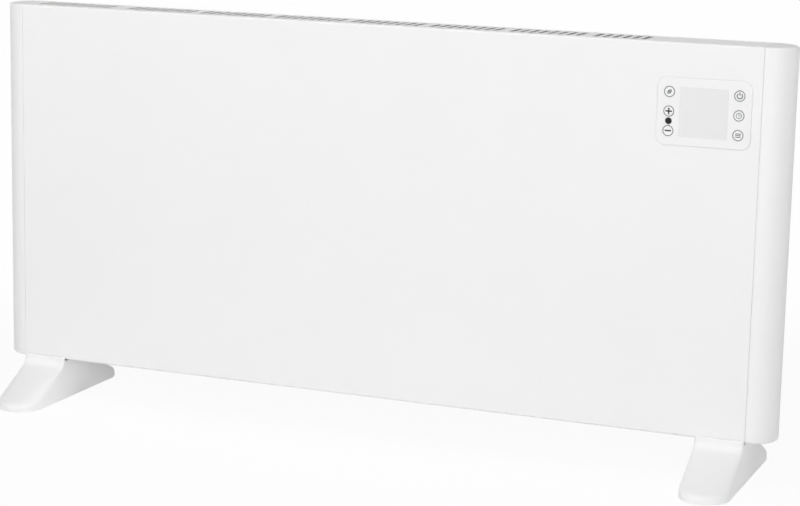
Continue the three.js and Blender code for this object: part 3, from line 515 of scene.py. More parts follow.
# Turned piece; the profile holds radius and distance along the axis, closed on the axis or on itself.
def turned(name, axis, centre, profile, finish, sides=64):
    closed = profile[0] == profile[-1]
    rings = []
    for radius, along in profile[:-1] if closed else profile:
        count = sides if radius > 0 else 1
        ring = []
        for i in range(count):
            angle = 2 * math.pi * i / count
            u = centre[0] + radius * math.cos(angle)
            v = centre[1] + radius * math.sin(angle)
            ring.append(onAxis(axis, u, v, along))
        rings.append(ring)
    return loft(name, rings, finish, closed)


# Round bar that is welded on, or the drill for a hole: the piece's own finish covers it.
def roundBar(axis, centre, radius, span, sides):
    start, end = span
    profile = [(0, start), (radius, start), (radius, end), (0, end)]
    return turned("bar", axis, centre, profile, "powderCoat", sides)


def arc(centre, radius, start, end, steps):
    points = []
    for step in range(steps + 1):
        angle = math.radians(start + (end - start) * step / steps)
        points.append((centre[0] + radius * math.cos(angle), centre[1] + radius * math.sin(angle)))
    return points


# Rectangle with round corners, anticlockwise, with the same number of points at any size.
def roundedOutline(width, height, radius, steps, centre):
    points = []
    for corner, (sideX, sideY) in enumerate(((1, 1), (-1, 1), (-1, -1), (1, -1))):
        middle = (centre[0] + sideX * (width / 2 - radius), centre[1] + sideY * (height / 2 - radius))
        points += arc(middle, radius, 90 * corner, 90 * corner + 90, steps)
    return points


# Plate with round corners, or the cutter for its opening, lying across an axis.
def roundedPlate(name, axis, size, radius, steps, centre, span, finish="powderCoat"):
    return prism(name, axis, roundedOutline(*size, radius, steps, centre), span, finish)


# Slot with round ends, standing along the second axis of its plane.
def slotOutline(centre, width, length, steps=8):
    rise = length / 2 - width / 2
    upper = arc((centre[0], centre[1] + rise), width / 2, 0, 180, steps)
    return upper + arc((centre[0], centre[1] - rise), width / 2, 180, 360, steps)


# Writes the modifiers into the mesh, so that the mesh holds what is shown.
def settle(piece):
    graph = bpy.context.evaluated_depsgraph_get()
    mesh = bpy.data.meshes.new_from_object(piece.evaluated_get(graph))
    old = piece.data
    piece.modifiers.clear()
    piece.data = mesh
    mesh.name = piece.name
    bpy.data.meshes.remove(old)
    return piece


def discard(piece):
    mesh = piece.data
    bpy.data.objects.remove(piece)
    bpy.data.meshes.remove(mesh)


# Joins separate shapes into one object, as one cutter or one group of copies.
def merged(name, pieces):
    shape = bmesh.new()
    for piece in pieces:
        shape.from_mesh(piece.data)
    whole = pieceFrom(name, shape, pieces[0].data.materials[0])
    for piece in pieces:
        discard(piece)
    return whole


def combine(piece, other, operation):
    tool = piece.modifiers.new(operation, "BOOLEAN")
    tool.operation = operation
    tool.solver = "EXACT"
    tool.object = other
    settle(piece)
    discard(other)
    return piece


def carve(piece, cutter):
    return combine(piece, cutter, "DIFFERENCE")


def weld(piece, other):
    return combine(piece, other, "UNION")


# Rounds the edges, shades smooth up to the sharp angle, and settles the mesh.
def dress(piece, edge=0.0, segments=2, sharp=34, angle=50):
    if edge > 0:
        rounding = piece.modifiers.new("edges", "BEVEL")
        rounding.width = edge
        rounding.segments = segments
        rounding.limit_method = "ANGLE"
        rounding.angle_limit = math.radians(angle)
        rounding.miter_outer = "MITER_ARC"
        settle(piece)
    piece.data.shade_smooth()
    piece.data.set_sharp_from_angle(angle=math.radians(sharp))
    even = piece.modifiers.new("evenNormals", "WEIGHTED_NORMAL")
    even.keep_sharp = True
    even.weight = 90
    return settle(piece)


# Hangs a finished piece on the body that it rides on, and hides the solids that it shows. Its slot is not
# used.
def hand(piece, body, slot, *replaced):
    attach(piece, body)
    if replaced:
        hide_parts(*replaced)
    return piece


def middleOf(node):
    low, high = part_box(node)
    return (low + high) / 2


# Where a node stands on the front or the rear, as x and z.
def placeOf(node):
    middle = middleOf(node)
    return (middle.x, middle.z)


casing = {
    "sheet": 0.0008,
    "bend": 0.003,
    "bendSteps": 8,
    "stripBend": 0.0016,
    "stripSteps": 5,
    "edge": 0.00015,  # powder rounds the cut edges of the sheet
    "cutOut": 0.002,  # how far a cutter stands out of the sheet, and reaches in
    "cutIn": 0.003,
    "seam": 0.0003,  # what is seen open between the folded casing and an end cap
    "fasciaGap": 0.00015,
    "fasciaCorner": 0.010,
    "fasciaFlange": 0.004,  # hidden rim of the control panel, behind the sheet
}
casingLow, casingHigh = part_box("front_panel")
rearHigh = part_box("rear_panel")[1]
fasciaLow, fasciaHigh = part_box("control_fascia")
fasciaPlace = placeOf("control_fascia")
fasciaWidth = fasciaHigh.x - fasciaLow.x - 2 * casing["fasciaFlange"]
fasciaHeight = fasciaHigh.z - fasciaLow.z - 2 * casing["fasciaFlange"]


# Outline of a sheet with both long edges bent the same way, as places across and deep: its face
# lies at one depth and its cut edges end at another. It starts and ends at the high edge.
def channelOutline(low, high, face, edge, bend, steps):
    way = 1 if edge > face else -1
    sheet = casing["sheet"]
    centre = face + way * bend

    def fold(radius, start, end, middle):
        return [(middle + v, centre - way * u) for u, v in arc((0, 0), radius, start, end, steps)]

    outside = fold(bend, 90, 0, high - bend) + fold(bend, 0, -90, low + bend)
    inside = fold(bend - sheet, -90, 0, low + bend) + fold(bend - sheet, 0, 90, high - bend)
    ends = [(low, edge), (low + sheet, edge)]
    return [(high, edge), *outside, *ends, *inside, (high - sheet, edge)]


def foldedPanel(name, node, faceY, edgeY):
    low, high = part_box(node)
    outline = channelOutline(low.z, high.z, faceY, edgeY, casing["bend"], casing["bendSteps"])
    return prism(name, "x", [(deep, across) for across, deep in outline], (low.x, high.x))


# Span of a cutter through a sheet, from its outer face and the way out of it.
def throughSheet(face, out):
    return sorted((face + out * casing["cutOut"], face - out * casing["cutIn"]))


def makeFrontPanel():
    low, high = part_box("front_panel")
    panel = foldedPanel("frontPanel", "front_panel", low.y, high.y)
    gap = casing["fasciaGap"]
    size = (fasciaWidth + 2 * gap, fasciaHeight + 2 * gap)
    carve(panel, roundedPlate("opening", "y", size, casing["fasciaCorner"] + gap, 12, fasciaPlace,
                              throughSheet(low.y, -1)))
    hand(dress(panel, casing["edge"]), "casing", "enamelled_steel", "front_panel")


slots = {
    "width": 0.0055,
    "length": 0.038,
    "pitch": 0.0106,
    # first slot and number of slots in the groups, from left to right
    "leftGroup": (-0.4218, 9),
    "evenGroups": [(-0.3056 + 0.09315 * group, 8) for group in range(6)],
    "rightGroup": (0.2533, 6),
    "inletWidth": 0.008,
    "inletCorner": 0.0012,
    "inletsInGroup": 4,
    "inletEnd": 0.308,  # the compartment wall
}


def slotPlaces():
    groups = [slots["leftGroup"], *slots["evenGroups"], slots["rightGroup"]]
    return [first + slots["pitch"] * i for first, count in groups for i in range(count)]


# The inlets stand at twice the pitch of the slots, as far as the compartment wall.
def inletPlaces():
    places = []
    for first, _ in slots["evenGroups"] + [slots["rightGroup"]]:
        places += [first + (2 * i + 0.5) * slots["pitch"] for i in range(slots["inletsInGroup"])]
    return [x for x in places if x < slots["inletEnd"]]


rearDetails = {
    "inletLength": 0.030,
    "inletZ": 0.082,
    "switchHole": (0.0146, 0.0202),
    "switchCorner": 0.0004,
    "glandRadius": 0.007,
    "keyholeX": 0.300,
    "keyholeZ": 0.3775,
    "keyholeRadius": 0.0055,
    "keyholeSlot": (0.005, 0.017),
}


def makeRearPanel():
    low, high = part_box("rear_panel")
    values = rearDetails
    panel = foldedPanel("rearPanel", "rear_panel", high.y, low.y)
    span = throughSheet(high.y, 1)
    inlet = (slots["inletWidth"], values["inletLength"])
    cutters = [roundedPlate("inlet", "y", inlet, slots["inletCorner"], 3, (x, values["inletZ"]), span)
               for x in inletPlaces()]
    cutters.append(roundedPlate("switchHole", "y", values["switchHole"], values["switchCorner"], 2,
                                placeOf("mains_switch_body"), span))
    cutters.append(roundBar("y", placeOf("cord_gland"), values["glandRadius"], span, 32))
    carve(panel, merged("rearCutters", cutters))
    slotWidth, slotLength = values["keyholeSlot"]
    slotZ = values["keyholeZ"] + (slotLength - slotWidth / 2) / 2
    for x in (-values["keyholeX"], values["keyholeX"]):
        hole = roundBar("y", (x, values["keyholeZ"]), values["keyholeRadius"], span, 48)
        rise = prism("keySlot", "y", slotOutline((x, slotZ), slotWidth, slotLength, 16), span)
        carve(panel, weld(hole, rise))
    hand(dress(panel, casing["edge"]), "casing", "enamelled_steel", "rear_panel")


# Grille strip with both long edges bent into the casing.
def grilleStrip(name, node, faceZ, edgeZ):
    low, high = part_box(node)
    outline = channelOutline(-high.y, high.y, faceZ, edgeZ, casing["stripBend"], casing["stripSteps"])
    return prism(name, "x", [(-across, deep) for across, deep in outline], (low.x, high.x))


def makeTopGrille():
    low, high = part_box("top_grille")
    strip = grilleStrip("topGrille", "top_grille", high.z, low.z)
    span = throughSheet(high.z, 1)
    cutters = [prism("slot", "z", slotOutline((x, 0), slots["width"], slots["length"]), span)
               for x in slotPlaces()]
    carve(strip, merged("slotCutters", cutters))
    hand(dress(strip, casing["edge"]), "casing", "enamelled_steel", "top_grille")


footScrews = [end + "_foot_screw" for end in ("left_front", "left_rear", "right_front", "right_rear")]
footScrewHole = 0.0026


def makeBottomGrille():
    low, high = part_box("bottom_grille")
    strip = grilleStrip("bottomGrille", "bottom_grille", low.z, high.z)
    span = throughSheet(low.z, -1)
    inlet = (slots["inletWidth"], slots["length"])
    cutters = [roundedPlate("inlet", "z", inlet, slots["inletCorner"], 3, (x, 0), span)
               for x in inletPlaces()]
    for node in footScrews:
        middle = middleOf(node)
        cutters.append(roundBar("z", (middle.x, middle.y), footScrewHole, span, 24))
    carve(strip, merged("bottomCutters", cutters))
    hand(dress(strip, casing["edge"]), "casing", "enamelled_steel", "bottom_grille")


endCap = {
    "wall": 0.0025,
    "round": 0.005,  # how far the cap draws in sideways at its top and bottom
    "planSteps": 40,
    "roundSteps": 8,
    "lap": 0.002,  # how far the hollow's cutter stands out over the seam
    "ribs": 4,
    "ribThickness": 0.0016,
    "ribSetback": 0.003,  # from the seam
    "ribEase": 0.0035,
    "registerInset": 0.0012,
    "registerHeight": 0.4018,
    "registerWall": 0.0015,
    "registerCorner": (0.0015, 0.001),  # outside and inside
    "registerSpan": (-0.0017, 0.0021),  # from the seam, into the casing and into the cap
    "edge": 0.00025,
}


# Plan of the cap: half an ellipse, closed on the seam.
def capPlan(reach, halfDepth):
    points = arc((0, 0), 1, -90, 90, endCap["planSteps"])
    return [(reach * u, halfDepth * v) for u, v in points]


# Rim that steps inside the folded casing, and that shows pale behind the seam.
def capRegister(seam, side, middleZ):
    depth = 2 * rearHigh.y - endCap["registerInset"] * 2
    height = endCap["registerHeight"]
    wall = endCap["registerWall"]
    corner, innerCorner = endCap["registerCorner"]
    span = [seam + side * along for along in endCap["registerSpan"]]
    boreSpan = (span[0] - side * lap, span[1] + side * lap)
    size = (depth - 2 * wall, height - 2 * wall)
    rim = roundedPlate("register", "x", (depth, height), corner, 3, (0, middleZ), span, "sparkAbs")
    return carve(rim, roundedPlate("bore", "x", size, innerCorner, 3, (0, middleZ), boreSpan))


def capRibs(seam, side, low, high, reach, halfDepth):
    inset = endCap["wall"] / 2
    width = reach - endCap["ribEase"] - inset
    plan = [(seam + side * (endCap["ribSetback"] + u * width / reach), v)
            for u, v in capPlan(reach, halfDepth - inset)]
    count = endCap["ribs"]
    pitch = (high.z - low.z) / (count + 1)
    half = endCap["ribThickness"] / 2
    heights = [low.z + rib * pitch for rib in range(1, count + 1)]
    return [prism("rib", "z", plan, (z - half, z + half), "sparkAbs") for z in heights]


def makeEndCap(name, node, side):
    low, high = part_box(node)
    outer = high.x if side > 0 else low.x
    seam = side * (casingHigh.x + casing["seam"])
    reach = abs(outer - seam)
    middleZ = (low.z + high.z) / 2
    halfHeight = (high.z - low.z) / 2
    halfDepth = high.y
    bend = casing["bend"]
    steps = endCap["roundSteps"]
    rings = []
    for end in (-1, 1):
        for step in range(steps + 1):
            turn = (steps - step if end < 0 else step) / steps * math.pi / 2
            drawnIn = 1 - math.cos(turn)
            z = middleZ + end * (halfHeight - bend + bend * math.sin(turn))
            plan = capPlan(reach - endCap["round"] * drawnIn, halfDepth - bend * drawnIn)
            rings.append([(seam + side * u, v, z) for u, v in plan])
    cap = loft(name, rings, "sparkAbs")
    wall = endCap["wall"]
    lapX = seam - side * endCap["lap"]
    hollow = [(seam + side * u, v) for u, v in capPlan(reach - wall, halfDepth - wall)]
    hollow = [(lapX, wall - halfDepth), *hollow, (lapX, halfDepth - wall)]
    carve(cap, prism("hollow", "z", hollow, (low.z + wall, high.z - wall)))
    dress(cap, endCap["edge"], 3, 34, 60)
    inside = capRibs(seam, side, low, high, reach, halfDepth) + [capRegister(seam, side, middleZ)]
    inner = dress(merged(name + "Inside", inside))
    for piece in (cap, inner):
        hand(piece, "casing", "white_moulding", node)


makeFrontPanel()
makeRearPanel()
makeTopGrille()
makeBottomGrille()
makeEndCap("leftEndCap", "left_end_cap", -1)
makeEndCap("rightEndCap", "right_end_cap", 1)
print("stage: casing")

foot = {
    "wall": 0.0032,
    "soleEdge": [(0.0008, 0), (0.00025, 0.0003), (0, 0.0009)],  # its draw-in and height
    "toeHeight": 0.008,
    "toeRadius": 0.00775,
    "toeCorner": 0.0255,
    "lipThickness": 0.0032,
    "lipFillet": 0.012,
    "lipTop": 0.002,  # rounding of the upper edge
    "lipCorner": 0.003,
    "lipBase": 0.0075,  # below the casing
    "deckGap": 0.0018,
    "deck": 0.003,
    "gap": 0.0003,
    "leastCorner": 0.001,
    "cornerSteps": 14,
    "roundSteps": 7,
    "slopeSteps": 12,
    "rib": 0.0018,
    "crossRibY": 0.036,
    "screwY": 0.014,
    "towerRadius": 0.0065,
    "towerHeight": 0.005,  # from its rim up to the screw's seat
    "screwSeat": 0.039,
    "headBore": 0.0046,
    "shankBore": 0.0023,
    "boreRise": 0.005,  # past the underside of the casing
    "knee": (0.0015, 0.001),  # bevel inside, between toe and slope: its draw-in and height
    "clear": 0.01,  # how far a cutter stands out of the foot
    "edge": 0.0005,
}
footLow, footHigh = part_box("right_foot")
footWidth = footHigh.x - footLow.x
footHalf = footHigh.y
footMiddle = (footLow.x + footHigh.x) / 2
lipReach = footHalf - rearHigh.y - foot["gap"] - foot["lipThickness"]
lipBaseZ = casingLow.z - foot["lipBase"]


# Outline of the foot at one height, given how far its ends have drawn in from the toe.
def footRing(middle, drawnIn, margin, z):
    share = min(drawnIn / lipReach, 1)
    corner = foot["toeCorner"] + (foot["lipCorner"] - foot["toeCorner"]) * share
    corner = max(corner - margin, foot["leastCorner"])
    outline = roundedOutline(footWidth - 2 * margin, 2 * (footHalf - drawnIn), corner, foot["cornerSteps"],
                             (middle, 0))
    return [(x, y, z) for x, y in outline]


# Draw-in and height up the foot: upright toe, long slope, fillet, upright lip.
def footProfile():
    slope = math.atan2(lipBaseZ - foot["toeHeight"], lipReach)
    turn = math.pi / 2 - slope
    toe = foot["toeRadius"]
    fillet = foot["lipFillet"]
    toeStart = foot["toeHeight"] - toe * math.tan(turn / 2)
    lipStart = lipBaseZ + fillet * math.tan(turn / 2)
    steps = foot["roundSteps"]
    profile = list(foot["soleEdge"])
    for step in range(steps + 1):
        angle = turn * step / steps
        profile.append((toe - toe * math.cos(angle), toeStart + toe * math.sin(angle)))
    # rings along the slope keep its twist even between the round toe and the square lip
    first = profile[-1]
    last = (lipReach - fillet + fillet * math.sin(slope), lipStart - fillet * math.cos(slope))
    for step in range(1, foot["slopeSteps"]):
        share = step / foot["slopeSteps"]
        profile.append((first[0] + (last[0] - first[0]) * share, first[1] + (last[1] - first[1]) * share))
    for step in range(steps + 1):
        angle = slope + turn * step / steps
        profile.append((lipReach - fillet + fillet * math.sin(angle), lipStart - fillet * math.cos(angle)))
    top = foot["lipTop"]
    profile += [(lipReach + top - u, footHigh.z - top + v) for u, v in arc((0, 0), top, 0, 90, steps)]
    return profile


# Space inside the foot, one wall away from its outer faces and open below.
def footHollow(middle, wall, ceilingZ):
    rise = (lipBaseZ - foot["toeHeight"]) / lipReach
    drop = wall * math.hypot(1, rise)
    kneeIn, kneeUp = foot["knee"]
    kneeZ = foot["toeHeight"] - drop + rise * wall
    ceiling = (ceilingZ - foot["toeHeight"] + drop) / rise
    rings = [(wall, -lap), (wall, kneeZ - kneeIn), (wall + kneeIn, kneeZ + kneeUp), (ceiling, ceilingZ)]
    return loft("hollow", [footRing(middle, drawnIn, wall, z) for drawnIn, z in rings], "sparkAbs")


# Lengthwise web, two cross ribs and two screw towers, which stand under the deck of a foot.
def footWeb(name, middle, deckTop, deckBottom):
    half = foot["rib"] / 2
    ribTop = deckTop - lap
    web = block(name, (middle - half, -footHalf, lap), (middle + half, footHalf, ribTop))
    for side in (-1, 1):
        y = side * foot["crossRibY"]
        rib = block("crossRib", (middle - footWidth, y - half, lap), (middle + footWidth, y + half, ribTop))
        weld(web, rib)
    combine(web, footHollow(middle, foot["wall"] - lap, deckBottom + lap), "INTERSECT")
    seat = foot["screwSeat"]
    head = foot["headBore"]
    shank = foot["shankBore"]
    boreLow = -foot["clear"]
    boreTop = casingLow.z - foot["gap"] + foot["boreRise"]
    bore = [(0, boreLow), (head, boreLow), (head, seat), (shank, seat), (shank, boreTop), (0, boreTop)]
    for side in (-1, 1):
        place = (middle, side * foot["screwY"])
        span = (seat - foot["towerHeight"], ribTop)
        weld(web, roundBar("z", place, foot["towerRadius"], span, 40))
        carve(web, turned("bore", "z", place, bore, "sparkAbs", 40))
    return dress(web)


def makeFoot(name, node, middle):
    outer = loft(name, [footRing(middle, drawnIn, 0, z) for drawnIn, z in footProfile()], "sparkAbs")
    deckTop = casingLow.z - foot["deckGap"]
    deckBottom = deckTop - foot["deck"]
    seatHalf = rearHigh.y + foot["gap"]
    left = middle - footWidth
    right = middle + footWidth
    carve(outer, footHollow(middle, foot["wall"], deckBottom))
    carve(outer, block("seat", (left, -seatHalf, deckTop), (right, seatHalf, footHigh.z + foot["clear"])))
    dress(outer, foot["edge"], 2, 34, 62)
    for piece in (outer, footWeb(name + "Web", middle, deckTop, deckBottom)):
        hand(piece, "casing", "white_moulding", node)


makeFoot("leftFoot", "left_foot", -footMiddle)
makeFoot("rightFoot", "right_foot", footMiddle)
print("stage: feet")

fascia = {
    "edgeWidth": 0.0019,  # soft edge that falls to the panel
    "edgeSteps": 7,
    "proud": 0.0008,
    "edgeShare": 0.9,  # of what it stands proud, taken by the soft edge
    "plate": 0.003,
    "flangeSpan": (0.0003, 0.0023),  # behind the sheet
    "keyHole": 0.00598,
    "irHole": 0.00365,
    "cut": 0.006,
    "window": (0.0515, 0.052),
    "windowCorner": 0.0008,
    "breakEdge": 0.00006,
    "flangeEdge": 0.0002,
}
keyNodes = ["economy_key", "plus_key", "minus_key", "power_key", "timer_key", "menu_key"]
frontFace = fasciaLow.y


def makeFascia():
    size = (fasciaWidth, fasciaHeight)
    corner = casing["fasciaCorner"]
    steps = fascia["edgeSteps"]
    insets = []
    for step in range(steps + 1):
        angle = math.pi / 2 * step / steps
        inset = fascia["edgeWidth"] * (1 - math.sin(angle))
        insets.append((inset, fascia["proud"] * fascia["edgeShare"] * (1 - math.cos(angle))))
    insets.append((0, fascia["plate"]))
    rings = []
    for inset, depth in insets:
        outline = roundedOutline(size[0] - 2 * inset, size[1] - 2 * inset, corner - inset, 14, fasciaPlace)
        rings.append([(x, frontFace + depth, z) for x, z in outline])
    plate = loft("controlFascia", rings, "satinAbs")
    span = (frontFace - lap, frontFace + fascia["cut"])
    cutters = [roundedPlate("window", "y", fascia["window"], fascia["windowCorner"], 4, fasciaPlace, span)]
    for node in keyNodes + ["ir_window"]:
        radius = fascia["irHole"] if node == "ir_window" else fascia["keyHole"]
        cutters.append(roundBar("y", placeOf(node), radius, span, 72))
    carve(plate, merged("fasciaCutters", cutters))
    dress(plate, fascia["breakEdge"], 2, 30, 60)
    hand(plate, "casing", "fascia_moulding", "control_fascia")

    # flange that holds it behind the sheet of the front panel
    rim = casing["fasciaFlange"]
    near, far = [casingLow.y + casing["sheet"] + gap for gap in fascia["flangeSpan"]]
    flange = roundedPlate("fasciaFlange", "y", (size[0] + 2 * rim, size[1] + 2 * rim), corner + rim, 10,
                          fasciaPlace, (near, far), "satinAbs")
    carve(flange, roundedPlate("hole", "y", size, corner, 10, fasciaPlace, (near - lap, far + lap)))
    dress(flange, fascia["flangeEdge"])
    hand(flange, "casing", "fascia_moulding", "control_fascia")


displayPane = {
    "clear": 0.00004,  # to the opening, on each side
    "rim": 0.0011,
    "rimCorner": 0.0015,
    "rimEdge": 0.0001,
    "gap": 0.0001,  # between the pane and its rim, so that no two faces meet
}


def makeDisplay():
    low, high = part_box("display_window")
    width, height = fascia["window"]
    clear = displayPane["clear"]
    rimY = high.y - displayPane["rim"]
    size = (width - 2 * clear, height - 2 * clear)
    paneSpan = (low.y, rimY - displayPane["gap"])
    pane = roundedPlate("displayPane", "y", size, fascia["windowCorner"], 5, fasciaPlace, paneSpan,
                        "displayPane")
    dress(pane, clear)
    rim = roundedPlate("displayRim", "y", (high.x - low.x, high.z - low.z), displayPane["rimCorner"], 5,
                       fasciaPlace, (rimY, high.y), "displayPane")
    dress(rim, displayPane["rimEdge"])
    for piece in (pane, rim):
        hand(piece, "casing", "display_pane", "display_window")


pushKey = {
    "radius": 0.00583,
    "edge": 0.00012,
    "collar": 0.0064,
    "collarGap": 0.0004,
    "collarHeight": 0.0009,
    "stem": 0.0017,
    "ring": (0.00498, 0.00570),  # printed line round the face
    "inkHeight": 0.00003,
    "inkDepth": 0.0002,
}
inkSpan = (frontFace - pushKey["inkHeight"], frontFace + pushKey["inkDepth"])


def inkPrism(outline, place):
    placed = [(place[0] + u, place[1] + v) for u, v in outline]
    return prism("mark", "y", placed, inkSpan, "greyInk")


# Closed profile of a flat ring, to be turned.
def ringProfile(inner, outer, low, high):
    return [(inner, low), (outer, low), (outer, high), (inner, high), (inner, low)]


def inkRing(inner, outer, place, sides=72):
    return turned("mark", "y", place, ringProfile(inner, outer, *inkSpan), "greyInk", sides)


# Part of a ring, from one angle to another, as a closed outline.
def band(inner, outer, start, end, steps=40):
    return arc((0, 0), outer, start, end, steps) + arc((0, 0), inner, end, start, steps)


def bar(width, height, z=0):
    return [(-width / 2, z - height / 2), (width / 2, z - height / 2), (width / 2, z + height / 2),
            (-width / 2, z + height / 2)]


def plusOutline(reach, line):
    half = line / 2
    return [(half, half), (half, reach), (-half, reach), (-half, half), (-reach, half), (-reach, -half),
            (-half, -half), (-half, -reach), (half, -reach), (half, -half), (reach, -half), (reach, half)]


# One side of a leaf: from its stem to its tip along the vein, bulging outwards.
def leafHalf(side, length=0.0062, bulge=0.0016, fullness=0.8, vein=0.00022, lean=40, steps=12):
    turn = math.radians(lean)
    points = []
    for t in [step / steps for step in range(steps + 1)]:
        points.append(((t - 0.5) * length, side * (vein + bulge * math.sin(math.pi * t) ** fullness)))
    cos, sin = math.cos(turn), math.sin(turn)
    return [(u * cos - v * sin, u * sin + v * cos) for u, v in points]


# Hands of a clock at three: one to the right and one up, as one outline.
def clockHands(right, up, half):
    return [(-half, -half), (right, -half), (right, half), (half, half), (half, up), (-half, up)]


# The ink of each key's sign, its outlines, and the inner and outer radius of its rings.
keySigns = {
    "economy_key": ("greyInk", [leafHalf(-1), leafHalf(1)], []),
    "plus_key": ("blackInk", [plusOutline(0.0035, 0.0014)], []),
    "minus_key": ("blackInk", [bar(0.0069, 0.0014)], []),
    "power_key": ("greyInk", [band(0.0033 - 0.00105, 0.0033, 128, 412), bar(0.00105, 0.0033, 0.0023)], []),
    "timer_key": ("greyInk", [clockHands(0.0017, 0.0020, 0.0003)], [(0.0025, 0.0031)]),
    "menu_key": ("greyInk", [bar(0.0058, 0.0008, 0.0017 * row) for row in (-1, 0, 1)], []),
}


def makeKey(node):
    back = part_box(node)[1].y
    place = placeOf(node)
    radius = pushKey["radius"]
    edge = pushKey["edge"]
    stem = pushKey["stem"]
    collar = pushKey["collar"]
    near = frontFace + fascia["plate"] + pushKey["collarGap"]
    far = near + pushKey["collarHeight"]
    profile = [(0, frontFace), (radius - edge, frontFace)]
    profile += [(radius - edge + u, frontFace + edge - v) for u, v in arc((0, 0), edge, 90, 0, 5)][1:]
    profile += [(radius, near), (collar, near), (collar, far), (stem, far), (stem, back), (0, back)]
    key = turned(node.replace("_key", "Key"), "y", place, profile, "satinAbs", 72)
    dress(key, 0, 2, 40)
    hand(key, node, "fascia_moulding", node)
    line = dress(inkRing(*pushKey["ring"], place, 96))
    line.name = node.replace("_key", "KeyRing")
    hand(line, node, "black_moulding")
    ink, outlines, rings = keySigns[node]
    shapes = [inkRing(*ring, place) for ring in rings] + [inkPrism(outline, place) for outline in outlines]
    mark = merged(node.replace("_key", "KeyMark"), shapes)
    mark.data.materials[0] = finishes[ink]
    hand(dress(mark), node, "black_moulding")


irDome = {"rise": 0.0005, "steps": 10, "skirt": 0.003, "taper": 0.0008}


def makeIrWindow(rise, steps, skirt, taper):
    low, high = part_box("ir_window")
    radius = (high.x - low.x) / 2
    angles = [math.radians(90 * step / steps) for step in range(steps + 1)]
    dome = [(radius * math.sin(a), low.y + rise * (1 - math.cos(a))) for a in angles]
    profile = dome + [(radius, low.y + skirt), (radius - taper, high.y), (0, high.y)]
    window = turned("irWindow", "y", placeOf("ir_window"), profile, "irPane", 72)
    hand(dress(window, 0, 2, 40), "casing", "black_moulding", "ir_window")


makeFascia()
makeDisplay()
for keyNode in keyNodes:
    makeKey(keyNode)
makeIrWindow(**irDome)
print("stage: control panel")

mainsSwitch = {
    "pivot": (0.350, 0.0265, 0.0925),
    "bezel": 0.0016,
    "bezelCorner": 0.0015,
    "bodyHalf": (0.007, 0.0098),
    "bodyFront": 0.012,
    "bodyLap": 0.0005,
    "clear": 0.0003,  # between the rocker and its cavity
    "bladeHalf": (0.0024, 0.0004),
    "bladeZ": 0.005,
    "bladeLap": 0.0002,
    "bladeEdge": 0.00015,
    "rockerRadius": 0.0086,
    "rockerWidth": 0.0104,
    "vee": 0.0034,  # from the pivot to the valley between the two halves of the face
    "rims": ((35, -6), (186, 145)),
    "back": (-0.0032, 0.0024),
    "pinRadius": 0.00125,
    "pinHalf": 0.0063,
    "tilt": 11.0,
    "edge": 0.0003,
    "markZ": 0.0036,
    "markSpan": (-0.0001, 0.00004),
    "markBar": (0.0007, 0.0030),
    "markRing": (0.0010, 0.0016),
}


def makeSwitchBody():
    low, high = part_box("mains_switch_body")
    values = mainsSwitch
    x, pivotY, z = values["pivot"]
    halfX, halfZ = values["bodyHalf"]
    front = values["bodyFront"]
    face = high.y - values["bezel"]
    size = (high.x - low.x, high.z - low.z)
    bezel = roundedPlate("switchBody", "y", size, values["bezelCorner"], 6, (x, z), (face, high.y), "nylon")
    body = block("body", (x - halfX, front, z - halfZ), (x + halfX, face + values["bodyLap"], z + halfZ),
                 "nylon")
    half = values["rockerWidth"] / 2 + values["clear"]
    radius = values["rockerRadius"] + values["clear"]
    weld(bezel, body)
    carve(bezel, roundBar("x", (pivotY, z), radius, (x - half, x + half), 64))
    dress(bezel, values["edge"], 2, 34, 60)
    hand(bezel, "casing", "black_moulding", "mains_switch_body")
    blades = []
    wide, thick = values["bladeHalf"]
    for side in (-1, 1):
        bladeZ = z + side * values["bladeZ"]
        bladeEnd = front + values["bladeLap"]
        blades.append(block("blade", (x - wide, low.y, bladeZ - thick),
                            (x + wide, bladeEnd, bladeZ + thick), "screwSteel"))
    hand(dress(merged("switchBlades", blades), values["bladeEdge"]), "casing", "zinc_steel")


# Puts a shape made about the pivot, at the rocker's middle position, where the rocker rests.
def tiltToRest(piece):
    turn = Matrix.Rotation(-math.radians(mainsSwitch["tilt"]), 4, "X")
    piece.data.transform(Matrix.Translation(mainsSwitch["pivot"]) @ turn)
    return piece


# Round part of the rocker's side view; angles are measured from straight up.
def rockerRim(start, end, steps=14):
    radius = mainsSwitch["rockerRadius"]
    angles = [math.radians(start + (end - start) * step / steps) for step in range(steps + 1)]
    return [(radius * math.sin(a), radius * math.cos(a)) for a in angles]


# Plain bar and ring, moulded on the two halves of the rocker's face.
def rockerMarks():
    values = mainsSwitch
    top = rockerRim(*values["rims"][0])[0]
    slope = math.atan2(top[0] - values["vee"], top[1])
    marks = []
    for side in (1, -1):
        lean = Matrix.Rotation(-side * slope, 4, "X")
        seatY = values["vee"] + values["markZ"] * math.tan(slope)
        seat = Matrix.Translation((0, seatY, side * values["markZ"]))
        if side > 0:
            mark = prism("mark", "y", bar(*values["markBar"]), values["markSpan"], "whiteInk")
        else:
            profile = ringProfile(*values["markRing"], *values["markSpan"])
            mark = turned("mark", "y", (0, 0), profile, "whiteInk", 40)
        mark.data.transform(seat @ lean)
        marks.append(mark)
    return dress(merged("rockerMarks", marks))


def makeRocker():
    values = mainsSwitch
    half = values["rockerWidth"] / 2
    upper, lower = values["rims"]
    back, backHalf = values["back"]
    rear = [(back, backHalf), (back, -backHalf)]
    outline = [(values["vee"], 0), *rockerRim(*upper), *rear, *rockerRim(*lower)]
    rocker = prism("mainsRocker", "x", outline, (-half, half), "nylon")
    weld(rocker, roundBar("x", (0, 0), values["pinRadius"], (-values["pinHalf"], values["pinHalf"]), 24))
    dress(rocker, values["edge"], 2, 30, 60)
    hand(tiltToRest(rocker), "mains_rocker", "black_moulding", "mains_rocker")
    hand(tiltToRest(rockerMarks()), "mains_rocker", "white_moulding")


